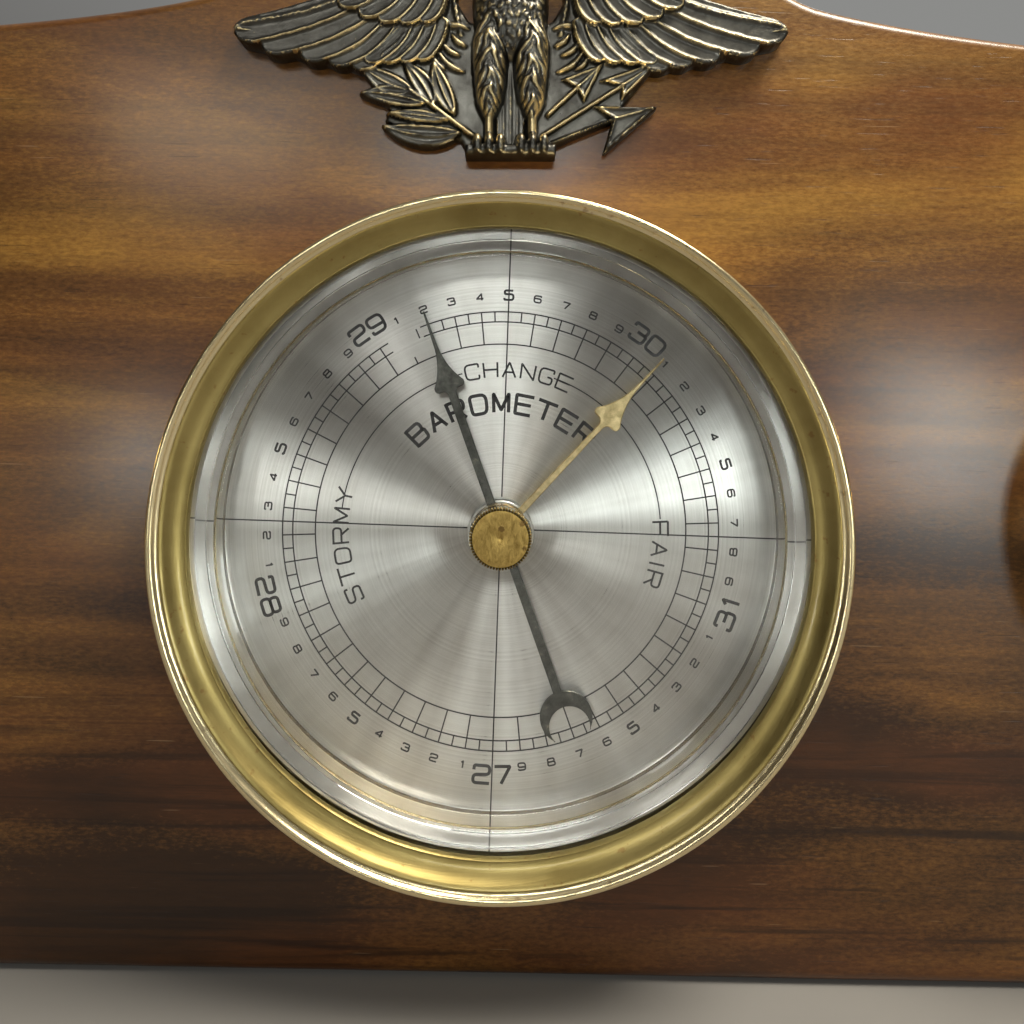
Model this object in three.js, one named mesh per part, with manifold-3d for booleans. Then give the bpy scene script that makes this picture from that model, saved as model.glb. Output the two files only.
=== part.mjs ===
// Wall-hung weather station: a wooden plaque with a cast eagle over an aneroid barometer,
// a dial thermometer on its left and a dial hygrometer on its right.
// Millimetres. X runs to the viewer's right, Z up, and the dials face -Y. The back of the
// plaque is the plane y = 0, and the origin is the wall contact point below the hanger.
import * as THREE from 'three';
import { mergeVertices } from 'three/addons/utils/BufferGeometryUtils.js';
import Module from 'manifold-3d';

const wasm = await Module();
wasm.setup();

// Clearances
const SEAT = 0.1; // between flat faces that lie on each other
const FIT = 0.3; // round a piece that sits in a hole, or turns in one
const BORE_EASE = 0.6; // round a case in the wood

// Plaque
const ORIGIN_ABOVE_AXIS = 61; // the wall contact point above the barometer's axis
const BOARD_BELOW_AXIS = 83.5;
const CREST_ABOVE_AXIS = 128;
const CREST_HALF_WIDTH = 16;
const SHOULDER_HALF_WIDTH = 60;
const SHOULDER_ABOVE_AXIS = 102.6;
const CENTRE_HALF_WIDTH = 113;
const CENTRE_TOP_ABOVE_AXIS = 95;
const SIDE_AXIS_X = 142; // thermometer and hygrometer from the barometer's axis
const END_MARGIN = 15; // wood outside a side bezel
const EDGE_ROUND = 2.4;
const CASE_INSET = 2.6; // of the barometer case's back from the plaque's back

// Barometer front
const BEZEL_RADIUS = 60.5;
const BEZEL_WIDTH = 6.1;
const BEZEL_LIP = 2.6; // rolled lip
const BEZEL_RISE = 3.5; // lip above the inner edge
const LENS_WALL = 1.7;
const SKIRT_WALL = 2.2;
const BUSH_RADIUS = 5.3;
const BUSH_GAP = 0.55; // between the bush and the dial's hole
const BUSH_PROUD = 0.4; // of the dial's face
const BOSS_RADIUS = 5.2; // under the lens, round the knob's shaft
const BOSS_DEPTH = 2.1;

// Thermometer and hygrometer fronts
const SIDE_BEZEL_RADIUS = 40;
const SIDE_BEZEL_WIDTH = 4.7;
const SIDE_BEZEL_LIP = 2.2;
const SIDE_BEZEL_RISE = 2.6;
const SIDE_LENS_ROOM = 1.8; // between the arbor's end and the lens
const SIDE_DIAL_HOLE = 1.6;

// Both kinds of front
const BEZEL_SHEET = 0.9;
const BEAD_RADIUS = 0.75; // of the rolled lip
const LIP_INSET = 0.2; // of the bezel's side from the lip
const LENS_RIM = 2.4; // of the lens under the bezel's inner edge
const SKIRT_INSET = 1; // of the skirt from the bezel's inner edge
const SKIRT_TAPER = 0.3;
const CASE_WALL = 1.6;
const FLANGE = 1.8;
const FLANGE_MARGIN = 1.3; // beside a case screw's head
const DIAL_SHEET = 0.5;

// Hands
const DIAL_TURN = 0.95; // degrees clockwise, as the dial was fitted
const DEGREES_PER_INCH = 72; // of mercury; the dial's top is 29.5
const TOP_PRESSURE = 29.5;
const PRESSURE_AT_REST = 29.2;
const SET_HAND_AT_REST = 30.075;
const PRESSURE_TIP = 42.9;
const SET_TIP = 43.4;
const HEAD_RADIUS = 28.4; // barbs of an arrow head from the axis
const HEAD_HALF_WIDTH = 2.95;
const HEAD_FLARE = 7; // from the barbs to the needle
const HEAD_SHOULDER = 2; // from the barbs to where the flare opens
const BARB_DEPTH = 0.9;
const NEEDLE_WIDTH = 0.8;
const SHAFT_WIDTH = 1.6;
const CRESCENT_RADIUS = 35.7; // its centre from the axis
const CRESCENT_OUTER = 4.8;
const CRESCENT_INNER = 3.75;
const CRESCENT_SHIFT = 1.85;
const HAND_SHEET = 0.5;
const HUB_PROUD = 0.5; // of a hand's hub on each face
const HAND_ABOVE_DIAL = 1.7;
const HANDS_APART = 1.8;
const WASHER_SHEET = 0.7;
const WASHER_RIM = 1.4; // round the knob's shaft
const ARBOR_RADIUS = 0.75;
const ARBOR_PROUD = 0.5; // of the hand
const DEGREES_PER_FAHRENHEIT = 2;
const MIDDLE_FAHRENHEIT = 50;
const FAHRENHEIT_AT_REST = 72;
const DEGREES_PER_PERCENT = 2.8;
const MIDDLE_PERCENT = 50;
const PERCENT_AT_REST = 45;
const SIDE_TIP = 27;
const SIDE_NEEDLE = 8; // the slender end of the hand
const SIDE_NEEDLE_WIDTH = 1;
const SIDE_WAIST = 1.8;
const SIDE_TAIL = 9;
const SIDE_TAIL_WIDTH = 2.6;
const SIDE_HUB = 2.4;
const SIDE_HAND_ABOVE_DIAL = 1.4;
const SIDE_ARBOR_RADIUS = 0.6;

// Set knob
const KNOB_RADIUS = 5.45;
const KNOB_THICKNESS = 2;
const KNOB_TEETH = 26;
const KNURL_DEPTH = 0.3;
const KNOB_CHAMFER = 0.2;
const KNOB_SHAFT = 1.4;
const RIVET_RIM = 0.9; // of the shaft's end past the set hand's bore
const RIVET_THICKNESS = 0.4;

// Aneroid movement
const BASE_SHEET = 1.2;
const BASE_RIM = 12; // of the base outside the capsule
const CAPSULE_RADIUS = 18;
const CAPSULE_THICKNESS = 4.2;
const CAPSULE_FOOT = 1; // raised foot below the lower diaphragm
const CAPSULE_RIPPLES = 2;
const RIPPLE_DEPTH = 0.45;
const CAPSULE_HUB = 3;
const CAPSULE_STUD = 1.4;
const STUD_RISE = 1.1; // from the upper diaphragm to the spring
const STUD_PROUD = 0.4;
const SPRING_WIDTH = 12;
const SPRING_TONGUE = 3.2;
const SPRING_SHEET = 0.8;
const SPRING_ROOM = 0.8; // between the spring and the cock
const POST_REACH = 6; // of the post and the rocking shaft outside the capsule
const POST_SIZE = 8;
const ROCKER_LIFT = 3; // of the rocking shaft above the base
const ROCKER_SHORT_ARM = 3.7;
const ROCKER_RADIUS = 0.8;
const ROCKER_SWING = 18; // degrees each way
const ARM_WIDTH = 0.9;
const LINK_RADIUS = 0.4;
const EAR_SPREAD = 9;
const EAR_SHEET = 1.2;
const EAR_WIDTH = 3;
const DRUM_RADIUS = 0.9; // to the middle of the chain
const DRUM_RIM = 1.6;
const DRUM_HALF_LENGTH = 0.7;
const CHAIN_WIDTH = 0.3;
const CHAIN_LINKS = 8;
const BRIDGE_BELOW_DIAL = 1.2;
const BRIDGE_SHEET = 1.2;
const BRIDGE_BAR = 6;
const BRIDGE_HUB = 9;
const PILLAR_REACH = 7; // outside the capsule
const PILLAR_ANGLE = 50;
const PILLAR_RADIUS = 1.8;
const PIVOT_SHARE = 0.6; // of a tenon or pivot in the bar it is turned on
const COCK_DEPTH = 4.4;
const COCK_SHEET = 0.8;
const COCK_WIDTH = 4;
const COCK_REACH = 7.4;
const HAIRSPRING_TURNS = 3;
const HAIRSPRING_RADIUS = 5.6;
const HAIRSPRING_STRIP = 0.2;
const HAIRSPRING_TALL = 0.6;
const ADJUSTER_RADIUS = 1.4;
const ADJUSTER_HEAD = 2.5;

// Thermometer and hygrometer movements
const COIL_RADIUS = 12;
const COIL_CORE = 2.2;
const COIL_STRIP = 0.45;
const COIL_LIFT = 1.9; // above the frame
const COIL_BELOW_DIAL = 5.6;
const THERMOMETER_TURNS = 4;
const THERMOMETER_STRIP_WIDTH = 3;
const HYGROMETER_TURNS = 3;
const HYGROMETER_STRIP_WIDTH = 4.2;
const FRAME_SHEET = 1.2;
const FRAME_WIDTH = 6;
const FRAME_END = 4; // of the frame outside the coil
const FRAME_BOSS = 1.6;

// Fasteners and hanger
const SCREW_RADIUS = 1.1;
const SCREW_HEAD = 2;
const SCREW_LENGTH = 12;
const SCREW_RIM = 0.3; // straight edge of a countersunk head
const MACHINE_SCREW_RADIUS = 1.3;
const MACHINE_SCREW_HEAD = 2.7;
const MACHINE_HEAD_THICKNESS = 1.6;
const HANGER_BELOW_CREST = 34;
const HANGER_WIDTH = 18;
const HANGER_HEIGHT = 44;
const HANGER_CORNER = 3;
const HANGER_SHEET = 1.6;
const HANGER_SCREW_MARGIN = 4.5;
const KEYHOLE_RADIUS = 4.5;
const KEYHOLE_SLOT = 5;
const KEYHOLE_RISE = 11;
const NAIL_POCKET_DEPTH = 6.5;

// Eagle, in its own frame: X from its middle, Z from the foot of its base. It is drawn
// 106 mm wide and scaled to its span.
const EAGLE_X = 0.5;
const EAGLE_BELOW_CREST = 58.6; // from the crest to the foot of its base
const EAGLE_TURN = 0.95; // degrees anticlockwise, as it was pinned on
const DRAWN_SPAN = 106;
const WING_SPAN = 106;
const WING_PLATE = 2.9;
const WEB_PLATE = 1.9;
const FEATHER_STEP = 0.28;
const EAGLE_BASE_WIDTH = 17.2;
const EAGLE_BASE_HEIGHT = 2.8;
const EAGLE_BASE_DEPTH = 5.6;
const PEG_RADIUS = 1.3;
const PEG_LENGTH = 5;
const PEG_X = 21;
const PEG_Z = 24;

// Heights above the board's face: the dial, then the hands and the lens in front of it
const dialBack = SEAT + FLANGE + SEAT;
const dialFront = dialBack + DIAL_SHEET;
const pressureHandBack = dialFront + HAND_ABOVE_DIAL;
const arborEnd = pressureHandBack + HAND_SHEET + ARBOR_PROUD;
const setHandBack = pressureHandBack + HAND_SHEET + HANDS_APART;
const washerBack = setHandBack + HAND_SHEET + SEAT;
const bossBack = washerBack + WASHER_SHEET + SEAT;
const lensFront = bossBack + BOSS_DEPTH + LENS_WALL;
const sideHandBack = dialFront + SIDE_HAND_ABOVE_DIAL;
const sideArborEnd = sideHandBack + HAND_SHEET + ARBOR_PROUD;
const sideLensFront = sideArborEnd + SIDE_LENS_ROOM + LENS_WALL;

// The aneroid movement, from the dial down to the case's back
const bridgeFront = dialBack - BRIDGE_BELOW_DIAL;
const bridgeBack = bridgeFront - BRIDGE_SHEET;
const cockFront = bridgeBack - COCK_DEPTH;
const cockBack = cockFront - COCK_SHEET;
const chainHeight = cockFront + DRUM_HALF_LENGTH + 0.5;
const springFront = cockBack - SPRING_ROOM;
const springBack = springFront - SPRING_SHEET;
const capsuleFront = springBack - STUD_RISE;
const capsuleBack = capsuleFront - CAPSULE_THICKNESS;
const baseFront = capsuleBack - CAPSULE_FOOT;
const baseBack = baseFront - BASE_SHEET;
const caseDepth = CASE_WALL + SEAT - baseBack;
const boardThickness = caseDepth + CASE_INSET;
const rockerHeight = baseFront + ROCKER_LIFT;
const rockerArm = chainHeight - rockerHeight;
const rockerX = CAPSULE_RADIUS + POST_REACH;
const postX = -rockerX;
const linkX = rockerX - ROCKER_SHORT_ARM;

// The coil of a side instrument, in the same way
const coilBack = dialBack - COIL_BELOW_DIAL - Math.max(THERMOMETER_STRIP_WIDTH, HYGROMETER_STRIP_WIDTH);
const frameBack = coilBack - COIL_LIFT - FRAME_SHEET;
const sideCaseDepth = CASE_WALL + SEAT - frameBack;

const WOOD = { color: 0x74452a, roughness: 0.38, metalness: 0 };
const BRASS = { color: 0xc9a14e, roughness: 0.22, metalness: 1 };
const WORN_BRASS = { color: 0xa98b45, roughness: 0.45, metalness: 1 };
const BRONZE = { color: 0x55503c, roughness: 0.42, metalness: 0.9 };
const SPUN_SILVER = { color: 0xbdbcb4, roughness: 0.35, metalness: 0.85 };
const GUNMETAL = { color: 0x4a4a44, roughness: 0.4, metalness: 0.7 };
const CLEAR = { color: 0xeef2f0, roughness: 0.08, metalness: 0, transparent: true, opacity: 0.25 };
const BLACK_PLASTIC = { color: 0x1b1b1c, roughness: 0.5, metalness: 0 };
const STEEL = { color: 0x9a9a9c, roughness: 0.35, metalness: 1 };
const SPRING_STEEL = { color: 0x55606c, roughness: 0.3, metalness: 1 };
const BIMETAL = { color: 0x9c7a58, roughness: 0.35, metalness: 1 };

const WELD = 1e-4;
const SCREW_SIDES = 6;

// A closed geometry as a solid that can be joined and cut
function toSolid(geometry) {
  const bare = geometry.clone();
  bare.deleteAttribute('normal');
  bare.deleteAttribute('uv');
  const welded = mergeVertices(bare, WELD);
  const place = welded.attributes.position;
  const corners = welded.index.array;
  const kept = [];
  const [a, b, c] = [new THREE.Vector3(), new THREE.Vector3(), new THREE.Vector3()];
  let volume = 0;
  for (let i = 0; i < corners.length; i += 3) {
    const [p, q, r] = corners.slice(i, i + 3);
    if (p === q || q === r || r === p) continue;
    kept.push([p, q, r]);
    a.fromBufferAttribute(place, p);
    b.fromBufferAttribute(place, q);
    c.fromBufferAttribute(place, r);
    volume += a.dot(b.cross(c));
  }
  const triVerts = new Uint32Array(kept.flatMap(([p, q, r]) => (volume < 0 ? [p, r, q] : [p, q, r])));
  const vertProperties = new Float32Array(place.array);
  return new wasm.Manifold(new wasm.Mesh({ numProp: 3, vertProperties, triVerts }));
}

function toGeometry(solid) {
  const { vertProperties, triVerts } = solid.getMesh();
  const geometry = new THREE.BufferGeometry();
  geometry.setAttribute('position', new THREE.BufferAttribute(new Float32Array(vertProperties), 3));
  geometry.setIndex(new THREE.BufferAttribute(new Uint32Array(triVerts), 1));
  const flat = geometry.toNonIndexed();
  flat.computeVertexNormals();
  return flat;
}

function join(...geometries) {
  return geometries.map(toSolid).reduce((whole, next) => whole.add(next));
}

function cut(solid, ...tools) {
  return tools.map(toSolid).reduce((whole, tool) => whole.subtract(tool), solid);
}

// Adds a named piece to its group
function addPiece(parent, name, shape, finish) {
  const solid = shape instanceof wasm.Manifold ? shape : toSolid(shape);
  const mesh = new THREE.Mesh(toGeometry(solid), new THREE.MeshStandardMaterial(finish));
  mesh.name = name;
  parent.add(mesh);
}

// A body turned about the dial axis from [radius, height above the board's face] points
function turned(profile, sides) {
  const loop = profile.map(([radius, height]) => new THREE.Vector2(radius, -height));
  loop.push(loop[0].clone());
  return new THREE.LatheGeometry(loop, sides);
}

function disc(radius, back, front, sides) {
  return turned([[0, back], [radius, back], [radius, front], [0, front]], sides);
}

function ring(outer, inner, back, front, sides) {
  return turned([[inner, back], [outer, back], [outer, front], [inner, front]], sides);
}

// A flat outline in X and Z, made thick between two heights above the board's face
function plate(outline, back, front, curveSegments = 8) {
  const depth = front - back;
  const geometry = new THREE.ExtrudeGeometry(outline, { depth, bevelEnabled: false, curveSegments });
  return geometry.rotateX(Math.PI / 2).translate(0, -back, 0);
}

function block(width, back, front, tall) {
  return new THREE.BoxGeometry(width, front - back, tall).translate(0, -(back + front) / 2, 0);
}

function roundedBox(width, height, corner) {
  const [x, z] = [width / 2, height / 2];
  const outline = new THREE.Shape();
  outline.moveTo(corner - x, -z);
  outline.lineTo(x - corner, -z);
  outline.absarc(x - corner, corner - z, corner, -Math.PI / 2, 0);
  outline.absarc(x - corner, z - corner, corner, 0, Math.PI / 2);
  outline.absarc(corner - x, z - corner, corner, Math.PI / 2, Math.PI);
  outline.absarc(corner - x, corner - z, corner, Math.PI, 1.5 * Math.PI);
  return outline;
}

// Points on an arc in a profile, angles in degrees
function arc(radius, height, size, from, to, steps) {
  return Array.from({ length: steps + 1 }, (_, i) => {
    const angle = THREE.MathUtils.degToRad(from + ((to - from) * i) / steps);
    return [radius + size * Math.cos(angle), height + size * Math.sin(angle)];
  });
}

// Turns a piece clockwise, as the viewer sees it, about the dial axis
function clockwise(geometry, degrees) {
  return geometry.rotateY(THREE.MathUtils.degToRad(degrees));
}

// The two kinds of instrument front
function frontOf(kind) {
  const wall = kind.bezelRadius - LIP_INSET - BEZEL_SHEET;
  const flangeRadius = wall - FIT;
  const flangeWidth = 2 * (SCREW_HEAD + FIT + FLANGE_MARGIN);
  const caseRadius = flangeRadius - flangeWidth;
  const edge = kind.window + SEAT + BEZEL_SHEET;
  const sightRadius = kind.bezelRadius - kind.bezelWidth;
  return {
    ...kind,
    wall,
    flangeRadius,
    caseRadius,
    edge,
    sightRadius,
    bezelFront: edge + kind.bezelRise,
    skirtOuter: sightRadius - SKIRT_INSET,
    dialRadius: flangeRadius - 2 * FIT,
    screwRadius: flangeRadius - flangeWidth / 2,
    boreRadius: caseRadius + BORE_EASE,
  };
}

const barometerFront = frontOf({
  name: 'barometer',
  sides: 36,
  bezelRadius: BEZEL_RADIUS,
  bezelWidth: BEZEL_WIDTH,
  bezelLip: BEZEL_LIP,
  bezelRise: BEZEL_RISE,
  window: lensFront,
  dialHole: BUSH_RADIUS + BUSH_GAP,
  depth: caseDepth,
  screws: [90, 210, 330],
});

const sideFronts = ['thermometer', 'hygrometer'].map((name) => frontOf({
  name,
  sides: 24,
  bezelRadius: SIDE_BEZEL_RADIUS,
  bezelWidth: SIDE_BEZEL_WIDTH,
  bezelLip: SIDE_BEZEL_LIP,
  bezelRise: SIDE_BEZEL_RISE,
  window: sideLensFront,
  dialHole: SIDE_DIAL_HOLE,
  depth: sideCaseDepth,
  screws: [90, 270],
}));

// Spun brass bezel: straight wall, rolled lip, and a coved slope down to the lens
function bezel({ bezelRadius, bezelLip, bezelFront, sightRadius, edge, wall, sides }) {
  const side = bezelRadius - LIP_INSET;
  const foot = bezelRadius - bezelLip;
  const groove = bezelFront - BEAD_RADIUS;
  const slope = (groove - edge) / (foot - sightRadius);
  const hollow = (foot + sightRadius) / 2;
  return turned([
    [side, SEAT],
    [side, groove - BEAD_RADIUS],
    ...arc(bezelRadius - BEAD_RADIUS, groove, BEAD_RADIUS, 0, 110, 2),
    [foot, groove],
    [hollow, edge + slope * (hollow - sightRadius) - 0.5],
    [sightRadius, edge],
    [sightRadius, edge - BEZEL_SHEET],
    [sightRadius + 2 * BEZEL_SHEET, edge - BEZEL_SHEET],
    [wall, groove - 2 * BEZEL_SHEET],
    [wall, SEAT],
  ], sides);
}

// Clear moulded lens: flat window with a skirt that stands on the dial
function lensProfile({ skirtOuter, sightRadius, window }, axisEnd) {
  const inner = skirtOuter - SKIRT_WALL;
  const back = dialFront + SEAT;
  const underside = window - LENS_WALL;
  return [
    [sightRadius + LENS_RIM, window],
    [sightRadius + LENS_RIM, underside],
    [skirtOuter, underside],
    [skirtOuter - SKIRT_TAPER, back],
    [inner, back],
    [inner - SKIRT_TAPER, underside],
    ...axisEnd,
  ];
}

function caseProfile({ caseRadius, depth, flangeRadius }) {
  const inner = caseRadius - CASE_WALL;
  return [
    [0, -depth],
    [caseRadius, -depth],
    [caseRadius, SEAT],
    [flangeRadius, SEAT],
    [flangeRadius, SEAT + FLANGE],
    [inner, SEAT + FLANGE],
    [inner, -depth + CASE_WALL],
    [0, -depth + CASE_WALL],
  ];
}

// Countersunk wood screw with its head's face at the given height, driven towards -height
function woodScrew(face) {
  const neck = face - SCREW_RIM - (SCREW_HEAD - SCREW_RADIUS);
  return turned([
    [0, face],
    [SCREW_HEAD, face],
    [SCREW_HEAD, face - SCREW_RIM],
    [SCREW_RADIUS, neck],
    [SCREW_RADIUS, face - SCREW_LENGTH + 2 * SCREW_RADIUS],
    [0, face - SCREW_LENGTH],
  ], SCREW_SIDES);
}

function woodScrewHole(face) {
  const neck = face - SCREW_RIM - FIT - (SCREW_HEAD - SCREW_RADIUS);
  return turned([
    [0, face + 1],
    [SCREW_HEAD + FIT, face + 1],
    [SCREW_HEAD + FIT, face - SCREW_RIM - FIT],
    [SCREW_RADIUS + FIT, neck],
    [SCREW_RADIUS + FIT, face - SCREW_LENGTH - FIT],
    [0, face - SCREW_LENGTH - FIT],
  ], SCREW_SIDES);
}

function polar(radius, degrees) {
  const angle = THREE.MathUtils.degToRad(degrees);
  return [radius * Math.cos(angle), radius * Math.sin(angle)];
}

const screwFace = SEAT + FLANGE;

// Adds a bezel, lens, dial, case and case screws
function addFront(group, front) {
  const { name, sides, dialRadius, dialHole, screwRadius, screws } = front;
  addPiece(group, `${name}_bezel`, bezel(front), BRASS);
  addPiece(group, `${name}_dial`, ring(dialRadius, dialHole, dialBack, dialFront, sides), SPUN_SILVER);
  const screwPlaces = screws.map((angle) => polar(screwRadius, angle));
  const screwHoles = screwPlaces.map(([x, z]) => woodScrewHole(screwFace).translate(x, 0, z));
  const cup = cut(toSolid(turned(caseProfile(front), sides)), ...screwHoles, ...front.holes);
  addPiece(group, `${name}_case`, cup, BLACK_PLASTIC);
  screwPlaces.forEach(([x, z], i) => {
    addPiece(group, `${name}_case_screw_${i + 1}`, woodScrew(screwFace).translate(x, 0, z), STEEL);
  });
}

// Plaque outline, right half then left half, anticlockwise from the middle of the foot
function boardOutline() {
  const endRadius = SIDE_BEZEL_RADIUS + END_MARGIN;
  const outline = new THREE.Shape();
  outline.moveTo(0, -BOARD_BELOW_AXIS);
  outline.lineTo(CENTRE_HALF_WIDTH, -BOARD_BELOW_AXIS);
  outline.quadraticCurveTo(CENTRE_HALF_WIDTH + 3, -endRadius - 3, SIDE_AXIS_X, -endRadius);
  outline.absarc(SIDE_AXIS_X, 0, endRadius, -Math.PI / 2, Math.PI / 2);
  outline.quadraticCurveTo(CENTRE_HALF_WIDTH + 3, endRadius + 3, CENTRE_HALF_WIDTH, CENTRE_TOP_ABOVE_AXIS);
  outline.quadraticCurveTo(78, 98, SHOULDER_HALF_WIDTH, SHOULDER_ABOVE_AXIS);
  outline.bezierCurveTo(44, 108, 38, CREST_ABOVE_AXIS, CREST_HALF_WIDTH, CREST_ABOVE_AXIS);
  outline.lineTo(-CREST_HALF_WIDTH, CREST_ABOVE_AXIS);
  outline.bezierCurveTo(-38, CREST_ABOVE_AXIS, -44, 108, -SHOULDER_HALF_WIDTH, SHOULDER_ABOVE_AXIS);
  outline.quadraticCurveTo(-78, 98, -CENTRE_HALF_WIDTH, CENTRE_TOP_ABOVE_AXIS);
  outline.quadraticCurveTo(-CENTRE_HALF_WIDTH - 3, endRadius + 3, -SIDE_AXIS_X, endRadius);
  outline.absarc(-SIDE_AXIS_X, 0, endRadius, Math.PI / 2, 1.5 * Math.PI);
  outline.quadraticCurveTo(-CENTRE_HALF_WIDTH - 3, -endRadius - 3, -CENTRE_HALF_WIDTH, -BOARD_BELOW_AXIS);
  outline.lineTo(0, -BOARD_BELOW_AXIS);
  return outline;
}

const hangerAboveAxis = CREST_ABOVE_AXIS - HANGER_BELOW_CREST;
const hangerScrewReach = HANGER_HEIGHT / 2 - HANGER_SCREW_MARGIN;
const hangerPlateBack = -boardThickness + SEAT;
const hangerPlateFront = hangerPlateBack + HANGER_SHEET;

// Keyhole: a round entry for the nail's head below a slot for its shank
function keyhole(entry, slot, rise) {
  const outline = new THREE.Shape();
  const side = Math.asin(slot / entry);
  outline.absarc(0, 0, entry, Math.PI / 2 + side, 2.5 * Math.PI - side);
  outline.absarc(0, rise, slot, 0, Math.PI);
  return outline;
}

// Turns a wood screw or its hole to enter the hanger plate from behind
function fromBehind(shape, side) {
  return shape.rotateX(Math.PI).translate(0, -hangerPlateBack - screwFace, side * hangerScrewReach);
}

function pegPlaces() {
  return [-PEG_X, PEG_X].map((x) => [x, PEG_Z]);
}

function addPlaque(group) {
  const depth = boardThickness - EDGE_ROUND;
  const slab = new THREE.ExtrudeGeometry(boardOutline(), {
    depth,
    bevelSize: EDGE_ROUND,
    bevelOffset: -EDGE_ROUND,
    bevelThickness: EDGE_ROUND,
    bevelSegments: 2,
    curveSegments: 5,
  }).rotateX(Math.PI / 2).translate(0, boardThickness, 0);
  const behind = block(1000, -boardThickness - 20, -boardThickness, 1000);
  const bores = [[0, barometerFront], [-SIDE_AXIS_X, sideFronts[0]], [SIDE_AXIS_X, sideFronts[1]]];
  const cuts = bores.flatMap(([x, front]) => [
    disc(front.boreRadius, -boardThickness - 1, 1, front.sides).translate(x, 0, 0),
    ...front.screws.map((angle) => {
      const [dx, dz] = polar(front.screwRadius, angle);
      return woodScrewHole(screwFace).translate(x + dx, 0, dz);
    }),
  ]);
  const behindBoard = -boardThickness - 1;
  const recessShape = roundedBox(HANGER_WIDTH + 2 * FIT, HANGER_HEIGHT + 2 * FIT, HANGER_CORNER + FIT);
  const recess = plate(recessShape, behindBoard, hangerPlateFront + SEAT, 3).translate(0, 0, hangerAboveAxis);
  const pocketTall = KEYHOLE_RISE + 2 * KEYHOLE_RADIUS + HANGER_CORNER;
  const pocketShape = roundedBox(2 * KEYHOLE_RADIUS + 2, pocketTall, HANGER_CORNER);
  const pocket = plate(pocketShape, behindBoard, hangerPlateFront + NAIL_POCKET_DEPTH, 3)
    .translate(0, 0, hangerAboveAxis + 0.5);
  const hangerHoles = [-1, 1].map((side) => fromBehind(woodScrewHole(screwFace), side)
    .translate(0, 0, hangerAboveAxis));
  const pegHoles = pegPlaces().map(([x, z]) => placeOnBoard(
    disc(PEG_RADIUS + FIT, -PEG_LENGTH - FIT, 1, 9).translate(x, 0, z)));
  const board = cut(toSolid(slab), behind, ...cuts, recess, pocket, ...hangerHoles, ...pegHoles);
  addPiece(group, 'plaque_board', board, WOOD);
}

// Keyhole hanger plate, let in flush with the back
function addHanger(group) {
  const blank = roundedBox(HANGER_WIDTH, HANGER_HEIGHT, HANGER_CORNER);
  const body = toSolid(plate(blank, hangerPlateBack, hangerPlateFront, 3));
  const opening = plate(keyhole(KEYHOLE_RADIUS, KEYHOLE_SLOT / 2, KEYHOLE_RISE), hangerPlateBack - 1,
    hangerPlateFront + 1, 5).translate(0, 0, -KEYHOLE_RISE / 2);
  const holes = [-1, 1].map((side) => fromBehind(woodScrewHole(screwFace), side));
  const hanger = new THREE.Group();
  hanger.position.set(0, 0, hangerAboveAxis);
  addPiece(hanger, 'hanger_plate', cut(body, opening, ...holes), STEEL);
  addPiece(hanger, 'hanger_screw_lower', fromBehind(woodScrew(screwFace), -1), STEEL);
  addPiece(hanger, 'hanger_screw_upper', fromBehind(woodScrew(screwFace), 1), STEEL);
  group.add(hanger);
}

// Eagle casting

// Puts a shape from the eagle's frame on the board
function placeOnBoard(geometry) {
  return clockwise(geometry, -EAGLE_TURN).translate(EAGLE_X, 0, CREST_ABOVE_AXIS - EAGLE_BELOW_CREST);
}

function outlineOf(points) {
  return new THREE.Shape(points.map(([x, z]) => new THREE.Vector2(x, z)));
}

// A feather or leaf: a curved blade from root to tip, bowed to its left, with a round tip
function blade([x0, z0], [x1, z1], width, bow, front, rootShare = 0.7) {
  const root = new THREE.Vector2(x0, z0);
  const tip = new THREE.Vector2(x1, z1);
  const across = tip.clone().sub(root).rotateAround(new THREE.Vector2(), Math.PI / 2).normalize();
  const control = root.clone().lerp(tip, 0.5).addScaledVector(across, 2 * bow);
  const spine = new THREE.QuadraticBezierCurve(root, control, tip);
  const stations = [[0, rootShare], [0.5, 1], [0.93, 0.62]];
  const offset = (side) => stations.map(([along, share]) => {
    const normal = spine.getTangent(along).rotateAround(new THREE.Vector2(), Math.PI / 2);
    const point = spine.getPoint(along).addScaledVector(normal, (side * share * width) / 2);
    return [point.x, point.y];
  });
  return plate(outlineOf([...offset(-1), [x1, z1], ...offset(1).reverse()]), 0.5, front);
}

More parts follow.
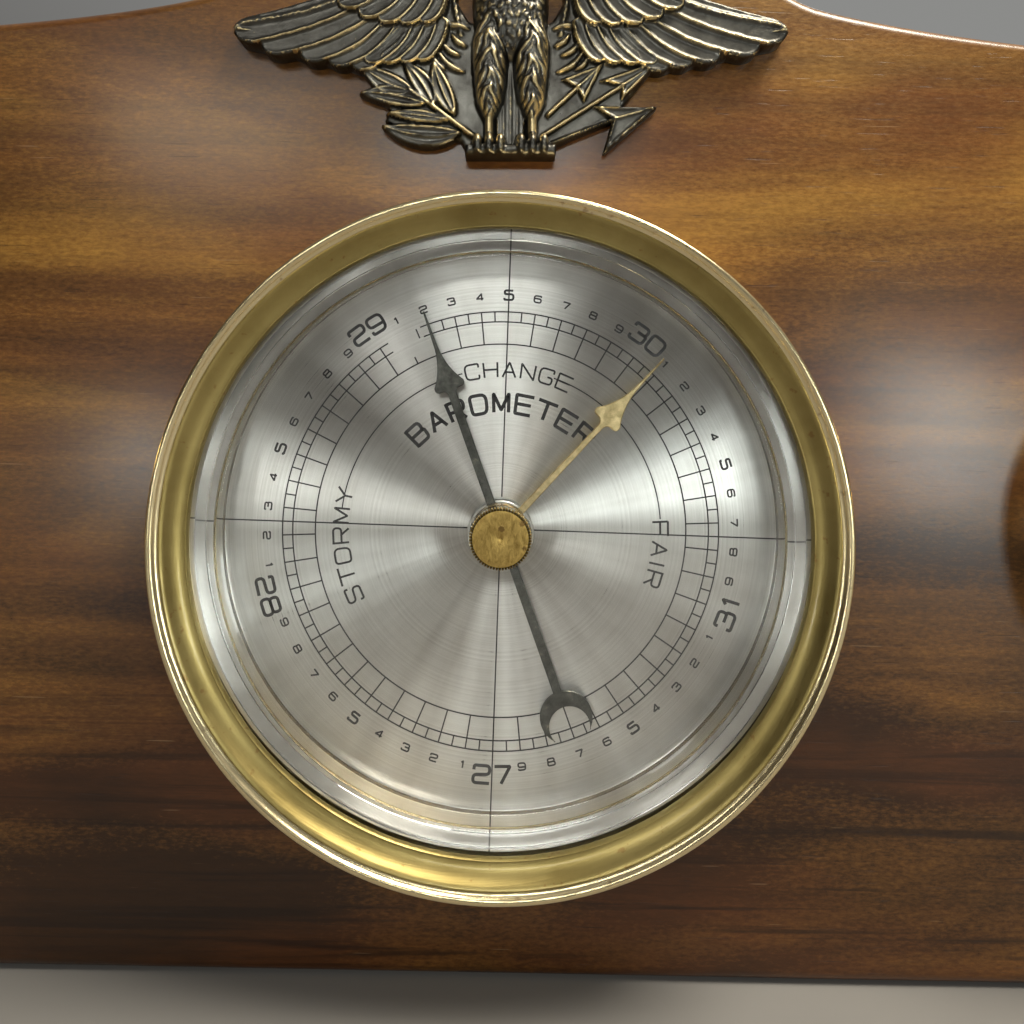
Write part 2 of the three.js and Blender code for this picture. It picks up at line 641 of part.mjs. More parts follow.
// One wing, drawn for the right: rows of feathers over a plate, with the arm along the top
function wing(side) {
  const tip = DRAWN_SPAN / 2;
  const edge = new THREE.Shape();
  edge.moveTo(tip, 24.6);
  edge.quadraticCurveTo(tip - 0.4, 26.4, tip - 3, 26.9);
  edge.quadraticCurveTo(tip - 17, 28.6, tip - 27, 34.5);
  edge.quadraticCurveTo(19, 39.5, 16.2, 44.2);
  edge.quadraticCurveTo(14, 47, 11.6, 44);
  edge.quadraticCurveTo(9.6, 39, 10.2, 31.5);
  edge.lineTo(8.2, 28);
  edge.lineTo(6, 27);
  edge.lineTo(6, 19);
  edge.lineTo(28, 18.4);
  edge.quadraticCurveTo(38, 17.4, 43, 20);
  edge.quadraticCurveTo(50, 20.6, tip, 24.6);
  const primaries = [
    [[24, 33.8], [52.8, 23.4]],
    [[23, 32.2], [47.6, 20.4]],
    [[22, 30.8], [42, 18.6]],
    [[21, 29.4], [36.6, 17.6]],
    [[20, 28.2], [32, 17.5]],
  ].map(([root, end], i) => blade(root, end, 4.4, 1.5, WING_PLATE + (5 - i) * FEATHER_STEP));
  const secondaries = [28.6, 24.8, 21, 17.4].map((x, i) => {
    const root = [x - 11 + 0.9 * i, 30 - 0.5 * i];
    return blade(root, [x, 19.8], 4.2, 1, WING_PLATE + (1.7 - 0.4 * i) * FEATHER_STEP);
  });
  const coverts = [30, 25.6, 21.2].map((x, i) => {
    const root = [x - 10 + 1.4 * i, 38 - 0.5 * i];
    return blade(root, [x, 29.4 - 1.1 * i], 4.8, 1, WING_PLATE + (8.2 - 0.9 * i) * FEATHER_STEP);
  });
  const arm = blade([10.6, 27], [14.6, 45.4], 5, -1, WING_PLATE + 9.3 * FEATHER_STEP, 0.6);
  const solid = join(plate(edge, 0, WING_PLATE, 3), ...primaries, ...secondaries, ...coverts, arm);
  return side > 0 ? solid : solid.mirror([1, 0, 0]);
}

// Arrow with a flat barbed head, from its tail end to its tip
function arrow(tip, barbs, notch, tail) {
  const along = new THREE.Vector2(notch[0] - tail[0], notch[1] - tail[1]);
  const { x, y } = along.rotateAround(new THREE.Vector2(), Math.PI / 2).setLength(0.7);
  const shaft = [
    [tail[0] - x, tail[1] - y],
    [notch[0] - x, notch[1] - y],
    [notch[0] + x, notch[1] + y],
    [tail[0] + x, tail[1] + y],
  ];
  return join(
    plate(outlineOf([tip, barbs[0], notch, barbs[1]]), 0.5, WEB_PLATE + 1.1),
    plate(outlineOf(shaft), 0.5, WEB_PLATE + 0.7),
  );
}

function lump(x, z, height, [width, depth, tall], sides = 7) {
  return new THREE.SphereGeometry(1, sides, 5).scale(width / 2, depth, tall / 2).translate(x, -height, z);
}

function leg(side) {
  const x = side * 4.1;
  const thigh = lump(x, 16.4, WEB_PLATE, [6.6, 4.6, 17.5]);
  const shin = new THREE.CylinderGeometry(0.95, 1.1, 8.4, 6).rotateX(Math.PI / 2)
    .translate(x, -WEB_PLATE - 1.2, 6);
  const claws = [-1.9, 0, 1.9].map((shift) => block(1.3, WEB_PLATE, EAGLE_BASE_DEPTH + 0.5, 3)
    .translate(x + shift, 0, 2.6));
  return join(thigh, shin, ...claws);
}

function eagle() {
  const web = outlineOf([
    [-8.4, 2], [-10.4, 6.2], [-13.6, 6.4], [-22, 10], [-25, 19], [-27, 22],
    [27, 22], [27, 18.6], [20, 9.6], [8.4, 3],
  ]);
  const leaves = [
    [[-18, 13.5], [-28.9, 18.6], 3.4, 0.5],
    [[-16, 11.3], [-28.8, 13.2], 3.6, 0.9],
    [[-9.6, 6.8], [-24.8, 8.4], 5, 1],
    [[-14.4, 10.4], [-20.6, 19.6], 3.6, -0.6],
    [[-11, 8.6], [-15, 19.6], 3.6, -0.6],
  ].map(([root, tip, width, bow]) => blade(root, tip, width, bow, WEB_PLATE + 0.9, 0.45));
  const stem = plate(outlineOf([[-6.2, 4], [-15.4, 10.6], [-15, 11.6], [-6.2, 5.6]]), 0.5, WEB_PLATE + 1.2);
  const base = block(EAGLE_BASE_WIDTH, 0, EAGLE_BASE_DEPTH, EAGLE_BASE_HEIGHT)
    .translate(0, 0, EAGLE_BASE_HEIGHT / 2);
  const torso = lump(0, 30.5, WEB_PLATE - 0.4, [15, 5.6, 22], 9);
  const neck = lump(-0.4, 40.5, WEB_PLATE, [8.4, 4.8, 13]);
  const head = lump(-1.2, 45.6, WEB_PLATE + 0.6, [7.4, 4.6, 7.2]);
  const beak = plate(outlineOf([
    [-3.4, 47.2], [-6.4, 46.6], [-7.6, 44.6], [-7.2, 43.2], [-6, 44.2], [-3.4, 43.8],
  ]), 0.5, WEB_PLATE + 2.4);
  const tail = plate(outlineOf([[-2.6, 3], [2.6, 3], [4, 20], [-4, 20]]), 0.5, WEB_PLATE + 0.8);
  const arrows = [
    arrow([17.9, 19.3], [[14.1, 11.8], [9.9, 16.1]], [12.9, 14.6], [5, 7]),
    arrow([29.5, 20.3], [[21.2, 12.1], [17.2, 15.9]], [21.2, 14.8], [6.2, 5.2]),
    arrow([28.2, 10.9], [[17.5, 1.6], [16, 10.9]], [18.4, 8.2], [7.4, 3.8]),
  ];
  const middle = join(plate(web, 0, WEB_PLATE), stem, base, torso, neck, head, beak, tail, ...leaves);
  const whole = [wing(-1), wing(1), leg(-1), leg(1), ...arrows].reduce((sum, next) => sum.add(next), middle);
  const behind = block(2 * DRAWN_SPAN, -20, 0, 2 * DRAWN_SPAN);
  const scale = WING_SPAN / DRAWN_SPAN;
  const pegs = pegPlaces().map(([x, z]) => disc(PEG_RADIUS, -PEG_LENGTH, 0.6, 9).translate(x, 0, z));
  return cut(whole, behind).scale([scale, 1, scale]).add(join(...pegs));
}

function addEagle(group) {
  addPiece(group, 'eagle_ornament', placeOnBoard(toGeometry(eagle()).translate(0, -SEAT, 0)), BRONZE);
}

// Hands

// Slender hand with a flared arrow head: [distance from the axis, half width] down one side
function handOutline(tip, tail) {
  const needle = NEEDLE_WIDTH / 2;
  const shaft = SHAFT_WIDTH / 2;
  const side = [
    [tip, needle * 0.6],
    [HEAD_RADIUS + HEAD_FLARE, needle],
    [HEAD_RADIUS + HEAD_SHOULDER, HEAD_HALF_WIDTH * 0.55],
    [HEAD_RADIUS, HEAD_HALF_WIDTH],
    [HEAD_RADIUS - BARB_DEPTH, HEAD_HALF_WIDTH * 0.93],
    [HEAD_RADIUS - 0.8 * BARB_DEPTH, shaft * 0.75],
    [-tail, shaft],
  ];
  const left = side.map(([z, x]) => [-x, z]);
  const right = side.map(([z, x]) => [x, z]).reverse();
  return outlineOf([...left, ...right]);
}

function pressureHand() {
  const back = pressureHandBack;
  const front = back + HAND_SHEET;
  const hornEnds = -CRESCENT_RADIUS - CRESCENT_SHIFT;
  const blank = join(
    plate(handOutline(PRESSURE_TIP, CRESCENT_RADIUS - CRESCENT_OUTER + 0.6), back, front),
    disc(CRESCENT_OUTER, back, front, 18).translate(0, 0, -CRESCENT_RADIUS),
    disc(SHAFT_WIDTH * 1.5, back - HUB_PROUD, front + HUB_PROUD, 14),
  );
  const open = disc(CRESCENT_INNER, back - 1, front + 1, 16).translate(0, 0, hornEnds);
  const mouth = block(4 * CRESCENT_OUTER, back - 1, front + 1, CRESCENT_OUTER)
    .translate(0, 0, hornEnds - CRESCENT_OUTER / 2);
  const bore = disc(ARBOR_RADIUS + FIT, back - 2, front + 2, 12);
  return cut(blank, open, mouth, bore);
}

function setHand() {
  const back = setHandBack;
  const front = back + HAND_SHEET;
  const blank = join(plate(handOutline(SET_TIP, 0), back, front), disc(SHAFT_WIDTH * 2, back, front, 16));
  return cut(blank, disc(KNOB_SHAFT + FIT, back - 1, front + 1, 12));
}

function sideHand() {
  const back = sideHandBack;
  const front = back + HAND_SHEET;
  const side = [
    [SIDE_TIP, SIDE_NEEDLE_WIDTH * 0.15],
    [SIDE_TIP - SIDE_NEEDLE, SIDE_NEEDLE_WIDTH / 2],
    [0, SIDE_WAIST / 2],
    [-SIDE_TAIL, SIDE_TAIL_WIDTH / 2],
  ];
  const left = side.map(([z, x]) => [-x, z]);
  const right = side.map(([z, x]) => [x, z]).reverse();
  const hub = disc(SIDE_HUB, back - HUB_PROUD, front + HUB_PROUD, 12);
  const blank = join(plate(outlineOf([...left, ...right]), back, front), hub);
  return cut(blank, disc(SIDE_ARBOR_RADIUS + FIT, back - 2, front + 2, 8));
}

function angleOf(value, middle, degreesPerUnit) {
  return (value - middle) * degreesPerUnit + DIAL_TURN;
}

// Knurled set knob with its shaft and riveted end
function setKnob() {
  const foot = lensFront + SEAT;
  const face = foot + KNOB_THICKNESS;
  const outline = new THREE.Shape(Array.from({ length: 2 * KNOB_TEETH }, (_, i) => {
    const radius = i % 2 ? KNOB_RADIUS : KNOB_RADIUS - KNURL_DEPTH;
    const angle = (Math.PI * i) / KNOB_TEETH;
    return new THREE.Vector2(radius * Math.cos(angle), radius * Math.sin(angle));
  }));
  const inner = KNOB_RADIUS - KNURL_DEPTH - KNOB_CHAMFER;
  const rivet = KNOB_SHAFT + RIVET_RIM;
  const end = setHandBack - SEAT;
  const core = turned([
    [0, end - RIVET_THICKNESS],
    [rivet, end - RIVET_THICKNESS],
    [rivet, end],
    [KNOB_SHAFT, end],
    [KNOB_SHAFT, foot + KNOB_CHAMFER],
    [inner, foot + KNOB_CHAMFER],
    [inner, face - KNOB_CHAMFER],
    [inner - KNOB_CHAMFER, face],
    [0, face],
  ], 14);
  return join(plate(outline, foot, face - 2 * KNOB_CHAMFER), core);
}

// Aneroid movement

// Flat strip wound in a spiral
function spiral(inner, outer, turns, strip, back, front) {
  const steps = Math.round(turns * 10);
  const points = (shift) => Array.from({ length: steps + 1 }, (_, i) => {
    const angle = (2 * Math.PI * turns * i) / steps;
    const radius = inner + ((outer - inner) * i) / steps + shift;
    return [radius * Math.cos(angle), radius * Math.sin(angle)];
  });
  return plate(outlineOf([...points(strip / 2), ...points(-strip / 2).reverse()]), back, front);
}

const tenonRadius = PILLAR_RADIUS * PIVOT_SHARE;
const pillarPlaces = [PILLAR_ANGLE, 180 - PILLAR_ANGLE, 180 + PILLAR_ANGLE, 360 - PILLAR_ANGLE]
  .map((angle) => polar(CAPSULE_RADIUS + PILLAR_REACH, angle));

function tenonHoles(back, front) {
  return pillarPlaces.map(([x, z]) => disc(tenonRadius + FIT, back - 1, front + 1, 8).translate(x, 0, z));
}

// A round bar along Z on the rocking shaft's axis
function rockerBar(radius, length) {
  return new THREE.CylinderGeometry(radius, radius, length, 8).rotateX(Math.PI / 2)
    .translate(rockerX, -rockerHeight, 0);
}

function movementScrewPlaces() {
  return [-1, 1].map((side) => side * (CAPSULE_RADIUS + POST_REACH));
}

function movementBase() {
  const earTop = rockerHeight + EAR_WIDTH / 2;
  const ears = [-EAR_SPREAD, EAR_SPREAD].map((z) => block(EAR_WIDTH, baseBack, earTop, EAR_SHEET)
    .translate(rockerX, 0, z));
  const through = [baseBack - 1, baseFront + 1, 10];
  const screws = movementScrewPlaces().map((z) => disc(MACHINE_SCREW_RADIUS + FIT, ...through)
    .translate(0, 0, z));
  const adjuster = disc(ADJUSTER_RADIUS + FIT, ...through).translate(postX, 0, 0);
  const sole = disc(CAPSULE_RADIUS + BASE_RIM, baseBack, baseFront, 24);
  const pivots = rockerBar(ROCKER_RADIUS * PIVOT_SHARE + FIT, 3 * EAR_SPREAD);
  return cut(join(sole, ...ears), pivots, adjuster, ...tenonHoles(baseBack, baseFront), ...screws);
}

// Corrugated capsule: two rippled diaphragms, a foot below and a stud above
function capsule() {
  const seam = (capsuleBack + capsuleFront) / 2;
  const steps = 2 * CAPSULE_RIPPLES + 1;
  const ripple = (height, sign) => Array.from({ length: steps }, (_, i) => {
    const radius = CAPSULE_HUB + 1 + ((CAPSULE_RADIUS - CAPSULE_HUB - 2) * i) / (steps - 1);
    return [radius, height + (i % 2 ? 0 : sign * RIPPLE_DEPTH)];
  });
  return turned([
    [0, baseFront + SEAT],
    [CAPSULE_HUB, baseFront + SEAT],
    [CAPSULE_HUB, capsuleBack + RIPPLE_DEPTH],
    ...ripple(capsuleBack, 1),
    [CAPSULE_RADIUS, seam],
    ...ripple(capsuleFront, -1).reverse(),
    [CAPSULE_HUB, capsuleFront - RIPPLE_DEPTH],
    [CAPSULE_HUB, springBack - SEAT],
    [CAPSULE_STUD, springBack - SEAT],
    [CAPSULE_STUD, springFront + STUD_PROUD],
    [0, springFront + STUD_PROUD],
  ], 18);
}

// Leaf spring from the post, over the capsule, to a tongue above the short arm
function mainSpring() {
  const half = SPRING_WIDTH / 2;
  const left = postX - POST_SIZE / 2;
  const right = linkX + 2 * LINK_RADIUS;
  const tongue = SPRING_TONGUE / 2;
  const leaf = outlineOf([
    [left, -half],
    [half, -half],
    [right, -tongue],
    [right, tongue],
    [half, half],
    [left, half],
  ]);
  const stud = disc(CAPSULE_STUD + FIT, springBack - 1, springFront + 1, 10);
  return cut(toSolid(plate(leaf, springBack, springFront)), stud);
}

const adjusterEnd = springBack - SEAT - 1.5;

function springPost() {
  const body = block(POST_SIZE, baseFront + SEAT, springBack - SEAT, SPRING_WIDTH).translate(postX, 0, 0);
  const hole = disc(ADJUSTER_RADIUS + FIT, baseFront - 1, adjusterEnd + FIT, 10).translate(postX, 0, 0);
  return cut(toSolid(body), hole);
}

// Wire that hangs under the spring's tongue, over the short arm
function linkWire() {
  const foot = rockerHeight + ARM_WIDTH / 2 + rockerLinkGap;
  return disc(LINK_RADIUS, foot, springBack - SEAT, 8).translate(linkX, 0, 0);
}

// Room for the short arm to rock under the wire
const rockerLinkGap = ROCKER_SHORT_ARM * Math.sin(THREE.MathUtils.degToRad(ROCKER_SWING));

// Rocking shaft with a long arm up to the chain and a short one under the link
function rockingShaft() {
  const shaft = rockerBar(ROCKER_RADIUS, 2 * EAR_SPREAD - EAR_SHEET - 2 * FIT);
  const pivots = rockerBar(ROCKER_RADIUS * PIVOT_SHARE, 2 * EAR_SPREAD + 2 * EAR_SHEET);
  const longArm = block(ARM_WIDTH, rockerHeight, chainHeight + ARM_WIDTH, ARM_WIDTH)
    .translate(rockerX, 0, -DRUM_RADIUS);
  const reach = ROCKER_SHORT_ARM + LINK_RADIUS;
  const half = ARM_WIDTH / 2;
  const shortArm = block(reach, rockerHeight - half, rockerHeight + half, ARM_WIDTH)
    .translate(rockerX - reach / 2, 0, 0);
  return join(shaft, pivots, longArm, shortArm);
}

// Fine chain from the drum to where the long arm swings
function drumChain() {
  const start = CHAIN_WIDTH;
  const swing = rockerArm * Math.sin(THREE.MathUtils.degToRad(ROCKER_SWING));
  const end = rockerX - ARM_WIDTH - FIT - swing;
  const pitch = (end - start) / CHAIN_LINKS;
  const half = CHAIN_WIDTH / 2;
  const bar = block(end - start, chainHeight - half, chainHeight + half, CHAIN_WIDTH)
    .translate((end + start) / 2, 0, 0);
  const beads = Array.from({ length: CHAIN_LINKS / 2 }, (_, i) => block(pitch, chainHeight - 2 * half,
    chainHeight + 2 * half, 2 * CHAIN_WIDTH).translate(start + (2 * i + 1) * pitch, 0, 0));
  return join(bar, ...beads);
}

function topBridge() {
  const reach = 2 * (CAPSULE_RADIUS + PILLAR_REACH) + BRIDGE_BAR;
  const bars = [PILLAR_ANGLE, -PILLAR_ANGLE].map((angle) => clockwise(
    plate(roundedBox(reach, BRIDGE_BAR, BRIDGE_BAR / 2.1), bridgeBack, bridgeFront, 2), angle));
  const hole = disc(ARBOR_RADIUS + FIT, bridgeBack - 1, bridgeFront + 1, 10);
  return cut(join(disc(BRIDGE_HUB, bridgeBack, bridgeFront, 12), ...bars), hole,
    ...tenonHoles(bridgeBack, bridgeFront));
}

function pillar() {
  return turned([
    [0, baseBack + SEAT],
    [tenonRadius, baseBack + SEAT],
    [tenonRadius, baseFront + SEAT],
    [PILLAR_RADIUS, baseFront + SEAT],
    [PILLAR_RADIUS, bridgeBack - SEAT],
    [tenonRadius, bridgeBack - SEAT],
    [tenonRadius, bridgeFront - SEAT],
    [0, bridgeFront - SEAT],
  ], 8);
}

// Strap under the bridge that carries the arbor's lower pivot, open where the chain passes
function arborCock() {
  const floor = block(2 * COCK_REACH, cockBack, cockFront, COCK_WIDTH);
  const legs = [-1, 1].map((side) => block(EAR_SHEET, cockBack, bridgeBack - SEAT, COCK_WIDTH)
    .translate(side * (COCK_REACH - EAR_SHEET / 2), 0, 0));
  const hole = disc(ARBOR_RADIUS * PIVOT_SHARE + FIT, cockBack - 1, cockFront + 1, 10);
  const [gateBack, gateFront] = [chainHeight - DRUM_HALF_LENGTH, chainHeight + DRUM_HALF_LENGTH];
  const gate = block(3 * EAR_SHEET, gateBack, gateFront, COCK_WIDTH / 2)
    .translate(COCK_REACH, 0, -DRUM_RADIUS);
  return cut(join(floor, ...legs), hole, gate);
}

// Arbor with its lower pivot, chain drum and the long end that carries the pressure hand
function handArbor() {
  const drumBack = chainHeight - DRUM_HALF_LENGTH;
  const drumFront = chainHeight + DRUM_HALF_LENGTH;
  const pivot = ARBOR_RADIUS * PIVOT_SHARE;
  const drum = DRUM_RADIUS - CHAIN_WIDTH / 2 - FIT;
  return turned([
    [0, cockBack + SEAT],
    [pivot, cockBack + SEAT],
    [pivot, cockFront + SEAT],
    [DRUM_RIM, cockFront + SEAT],
    [DRUM_RIM, drumBack],
    [drum, drumBack],
    [drum, drumFront],
    [DRUM_RIM, drumFront],
    [DRUM_RIM, drumFront + 0.4],
    [ARBOR_RADIUS, drumFront + 0.4],
    [ARBOR_RADIUS, arborEnd],
    [0, arborEnd],
  ], 8);
}

function arborBush() {
  return turned([
    [ARBOR_RADIUS + FIT, bridgeFront + SEAT],
    [BUSH_RADIUS, bridgeFront + SEAT],
    [BUSH_RADIUS, dialFront + BUSH_PROUD / 2],
    [BUSH_RADIUS - BUSH_PROUD / 2, dialFront + BUSH_PROUD],
    [ARBOR_RADIUS + FIT, dialFront + BUSH_PROUD],
  ], 14);
}

// Screw from behind the case, through its floor and the movement's base
function movementScrew() {
  const neck = -caseDepth - SEAT;
  const head = neck - MACHINE_HEAD_THICKNESS;
  const end = baseFront + MACHINE_HEAD_THICKNESS;
  return turned([
    [0, head],
    [MACHINE_SCREW_HEAD, head],
    [MACHINE_SCREW_HEAD, neck],
    [MACHINE_SCREW_RADIUS, neck],
    [MACHINE_SCREW_RADIUS, end],
    [0, end],
  ], 10);
}

function adjustingScrew() {
  const head = -caseDepth + SEAT;
  const neck = baseBack - FIT;
  return turned([
    [0, head],
    [ADJUSTER_HEAD, head],
    [ADJUSTER_HEAD, neck],
    [ADJUSTER_RADIUS, neck],
    [ADJUSTER_RADIUS, adjusterEnd],
    [0, adjusterEnd],
  ], 12);
}

function addMovement(group) {
  addPiece(group, 'movement_base', movementBase(), STEEL);
  addPiece(group, 'aneroid_capsule', capsule(), BRASS);
  addPiece(group, 'spring_post', springPost(), WORN_BRASS);
  addPiece(group, 'main_spring', mainSpring(), SPRING_STEEL);
  addPiece(group, 'link_wire', linkWire(), STEEL);
  addPiece(group, 'rocking_shaft', rockingShaft(), STEEL);
  addPiece(group, 'drum_chain', toGeometry(drumChain()).translate(0, 0, -DRUM_RADIUS), STEEL);
  addPiece(group, 'top_bridge', topBridge(), STEEL);
  addPiece(group, 'arbor_cock', arborCock(), WORN_BRASS);
  pillarPlaces.forEach(([x, z], i) => {
    addPiece(group, `bridge_pillar_${i + 1}`, pillar().translate(x, 0, z), WORN_BRASS);
  });
  addPiece(group, 'hand_arbor', handArbor(), STEEL);
  addPiece(group, 'arbor_bush', arborBush(), SPUN_SILVER);
  const stripFront = bridgeBack - BRIDGE_SHEET;
  const hairspring = spiral(ARBOR_RADIUS + 2 * FIT, HAIRSPRING_RADIUS, HAIRSPRING_TURNS, HAIRSPRING_STRIP,
    stripFront - HAIRSPRING_TALL, stripFront);
  addPiece(group, 'hairspring', hairspring, SPRING_STEEL);
  movementScrewPlaces().forEach((z, i) => {
    addPiece(group, `movement_screw_${i + 1}`, movementScrew().translate(0, 0, z), STEEL);
  });
  addPiece(group, 'adjusting_screw', adjustingScrew().translate(postX, 0, 0), BRASS);
}

function addBarometer(group) {
  const floor = [-caseDepth - 1, -caseDepth + CASE_WALL + 1];
  const screwHoles = movementScrewPlaces().map((z) => disc(MACHINE_SCREW_RADIUS + FIT, ...floor, 10)
    .translate(0, 0, z));
  const adjusterHole = disc(ADJUSTER_HEAD + FIT, ...floor, 12).translate(postX, 0, 0);
  addFront(group, { ...barometerFront, holes: [...screwHoles, adjusterHole] });
  const lens = lensProfile(barometerFront, [
    [BOSS_RADIUS, lensFront - LENS_WALL],
    [BOSS_RADIUS, bossBack],
    [KNOB_SHAFT + FIT, bossBack],
    [KNOB_SHAFT + FIT, lensFront],
  ]);
  addPiece(group, 'barometer_lens', turned(lens, barometerFront.sides), CLEAR);
  addMovement(group);

  const pressureAngle = angleOf(PRESSURE_AT_REST, TOP_PRESSURE, DEGREES_PER_INCH);
  const setAngle = angleOf(SET_HAND_AT_REST, TOP_PRESSURE, DEGREES_PER_INCH);
  addPiece(group, 'pressure_hand', clockwise(toGeometry(pressureHand()), pressureAngle), GUNMETAL);
  addPiece(group, 'set_hand', clockwise(toGeometry(setHand()), setAngle), WORN_BRASS);
  const washer = ring(KNOB_SHAFT + WASHER_RIM, KNOB_SHAFT + FIT, washerBack, washerBack + WASHER_SHEET, 10);
  addPiece(group, 'set_washer', washer, STEEL);
  addPiece(group, 'set_knob', setKnob(), WORN_BRASS);
}

// Flat frame on the case's floor, with a boss for the arbor and a post at the coil's outer end
function coilFrame(stripFront) {
  const front = frameBack + FRAME_SHEET;
  const strip = plate(roundedBox(2 * (COIL_RADIUS + FRAME_END), FRAME_WIDTH, 1), frameBack, front, 2);
  const boss = disc(SIDE_HUB, frameBack, front + FRAME_BOSS - FIT, 9);
  const post = block(FRAME_BOSS, frameBack, stripFront, FRAME_WIDTH / 2)
    .translate(COIL_RADIUS + (FRAME_BOSS + COIL_STRIP) / 2 + SEAT, 0, 0);
  const hole = disc(SIDE_ARBOR_RADIUS + FIT, frameBack + FRAME_SHEET / 3, coilBack, 8);
  return cut(join(strip, boss, post), hole);
}

function coilArbor(stripFront) {
  const foot = frameBack + FRAME_SHEET / 2;
  const core = COIL_CORE - COIL_STRIP / 2 - FIT;
  return turned([
    [0, foot],
    [SIDE_ARBOR_RADIUS, foot],
    [SIDE_ARBOR_RADIUS, coilBack],
    [core, coilBack],
    [core, stripFront],
    [SIDE_ARBOR_RADIUS, stripFront],
    [SIDE_ARBOR_RADIUS, sideArborEnd],
    [0, sideArborEnd],
  ], 8);
}

function addSideInstrument(group, front, turns, stripWidth, angle) {
  const { name, window, sides } = front;
  const stripFront = coilBack + stripWidth;
  addFront(group, { ...front, holes: [] });
  const lens = lensProfile(front, [[0, window - LENS_WALL], [0, window]]);
  addPiece(group, `${name}_lens`, turned(lens, sides), CLEAR);
  addPiece(group, `${name}_frame`, coilFrame(stripFront), STEEL);
  const coil = spiral(COIL_CORE, COIL_RADIUS, turns, COIL_STRIP, coilBack, stripFront);
  addPiece(group, `${name}_coil`, coil, BIMETAL);
  addPiece(group, `${name}_arbor`, coilArbor(stripFront), STEEL);
  addPiece(group, `${name}_hand`, clockwise(toGeometry(sideHand()), angle), GUNMETAL);
}

const group = new THREE.Group();
const face = new THREE.Group();
face.position.set(0, -boardThickness, -ORIGIN_ABOVE_AXIS);
group.add(face);

addPlaque(face);
addEagle(face);
addHanger(face);
addBarometer(face);

const sides = [
  [-SIDE_AXIS_X, THERMOMETER_TURNS, THERMOMETER_STRIP_WIDTH,
    angleOf(FAHRENHEIT_AT_REST, MIDDLE_FAHRENHEIT, DEGREES_PER_FAHRENHEIT)],
  [SIDE_AXIS_X, HYGROMETER_TURNS, HYGROMETER_STRIP_WIDTH,
    angleOf(PERCENT_AT_REST, MIDDLE_PERCENT, DEGREES_PER_PERCENT)],
];
sides.forEach(([x, turns, stripWidth, angle], i) => {
  const instrument = new THREE.Group();
  instrument.position.set(x, 0, 0);
  face.add(instrument);
  addSideInstrument(instrument, sideFronts[i], turns, stripWidth, angle);
});

export default group;
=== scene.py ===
"""Wall-hung weather station: a stained wooden plaque with a cast eagle over an aneroid barometer,
a dial thermometer on its left and a dial hygrometer on its right."""
import math

import bmesh
import bpy
import numpy as np
from mathutils import Matrix, Vector


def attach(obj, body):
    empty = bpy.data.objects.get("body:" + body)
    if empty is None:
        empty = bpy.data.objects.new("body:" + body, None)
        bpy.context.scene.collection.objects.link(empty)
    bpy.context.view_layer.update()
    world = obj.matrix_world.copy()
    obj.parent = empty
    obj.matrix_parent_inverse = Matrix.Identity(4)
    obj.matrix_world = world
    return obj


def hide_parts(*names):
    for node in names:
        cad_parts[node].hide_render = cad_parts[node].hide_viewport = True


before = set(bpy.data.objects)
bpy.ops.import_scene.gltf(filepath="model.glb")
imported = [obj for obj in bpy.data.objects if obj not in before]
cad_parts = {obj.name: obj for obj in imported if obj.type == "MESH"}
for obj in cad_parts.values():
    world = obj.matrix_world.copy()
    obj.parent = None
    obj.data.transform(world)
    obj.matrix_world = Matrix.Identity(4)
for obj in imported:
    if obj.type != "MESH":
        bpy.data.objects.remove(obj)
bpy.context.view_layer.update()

# Camera. The photograph looks at the barometer from close in front, a little above its middle and
# turned slightly to one side, so the plaque runs out of the picture on three sides.
CAMERA_PLACE = (0.00016, -0.16649, -0.03677)
CAMERA_TILT, CAMERA_TURN, CAMERA_ROLL = (math.radians(a) for a in (-2.381, -0.031, 1.105))
FILM_WIDTH, FOCAL_LENGTH = 36, 27.04
PICTURE_SHIFT = (0.0068, -0.1418)


def camera_axes(tilt, turn, roll):
    """Rows of the camera's rotation from the board's x, down and outward directions"""
    rx = np.array([[1, 0, 0], [0, math.cos(tilt), -math.sin(tilt)], [0, math.sin(tilt), math.cos(tilt)]])
    ry = np.array([[math.cos(turn), 0, math.sin(turn)], [0, 1, 0], [-math.sin(turn), 0, math.cos(turn)]])
    rz = np.array([[math.cos(roll), -math.sin(roll), 0], [math.sin(roll), math.cos(roll), 0], [0, 0, 1]])
    return rz @ rx @ ry


rows = camera_axes(CAMERA_TILT, CAMERA_TURN, CAMERA_ROLL)
right, down, ahead = (Vector((row[0], row[2], -row[1])) for row in rows)
camera = bpy.data.objects.new("camera", bpy.data.cameras.new("camera"))
camera.matrix_world = Matrix((right, -down, -ahead)).transposed().to_4x4()
camera.location = CAMERA_PLACE
camera.data.sensor_width = FILM_WIDTH
camera.data.lens = FOCAL_LENGTH
camera.data.shift_x, camera.data.shift_y = PICTURE_SHIFT
camera.data.clip_start = 0.005
bpy.context.scene.collection.objects.link(camera)
bpy.context.scene.camera = camera

# Plaque: one piece of softwood about 19 mm thick, sawn to a scalloped outline, rounded over along
# the front edge, stained brown and given a satin lacquer. The grain runs across. Three bores take
# the instruments' cases, and a recess and pocket at the back take the hanger plate.
MM = 0.001
BOARD_THICKNESS = 19.0
AXIS_Z = -61.0
SIDE_X = 142.0
BOARD_ROUND = 2.4
BORES = [(0.0, 52.5), (-SIDE_X, 32.0), (SIDE_X, 32.0)]
HANGER_Z = 94.0
PLATE_RECESS, RECESS_FLOOR = (18.6, 44.6, 3.3), -17.2
NAIL_POCKET, POCKET_FLOOR = (11.0, 23.0, 3.0), -10.8
STAIN_DARK = (0.035, 0.012, 0.0022, 1)
STAIN_MIDDLE = (0.17, 0.07, 0.0125, 1)
STAIN_LIGHT = (0.4, 0.195, 0.033, 1)
SAP_RED = (0.15, 0.046, 0.011, 1)
STREAK_BROWN = (0.012, 0.004, 0.001, 1)
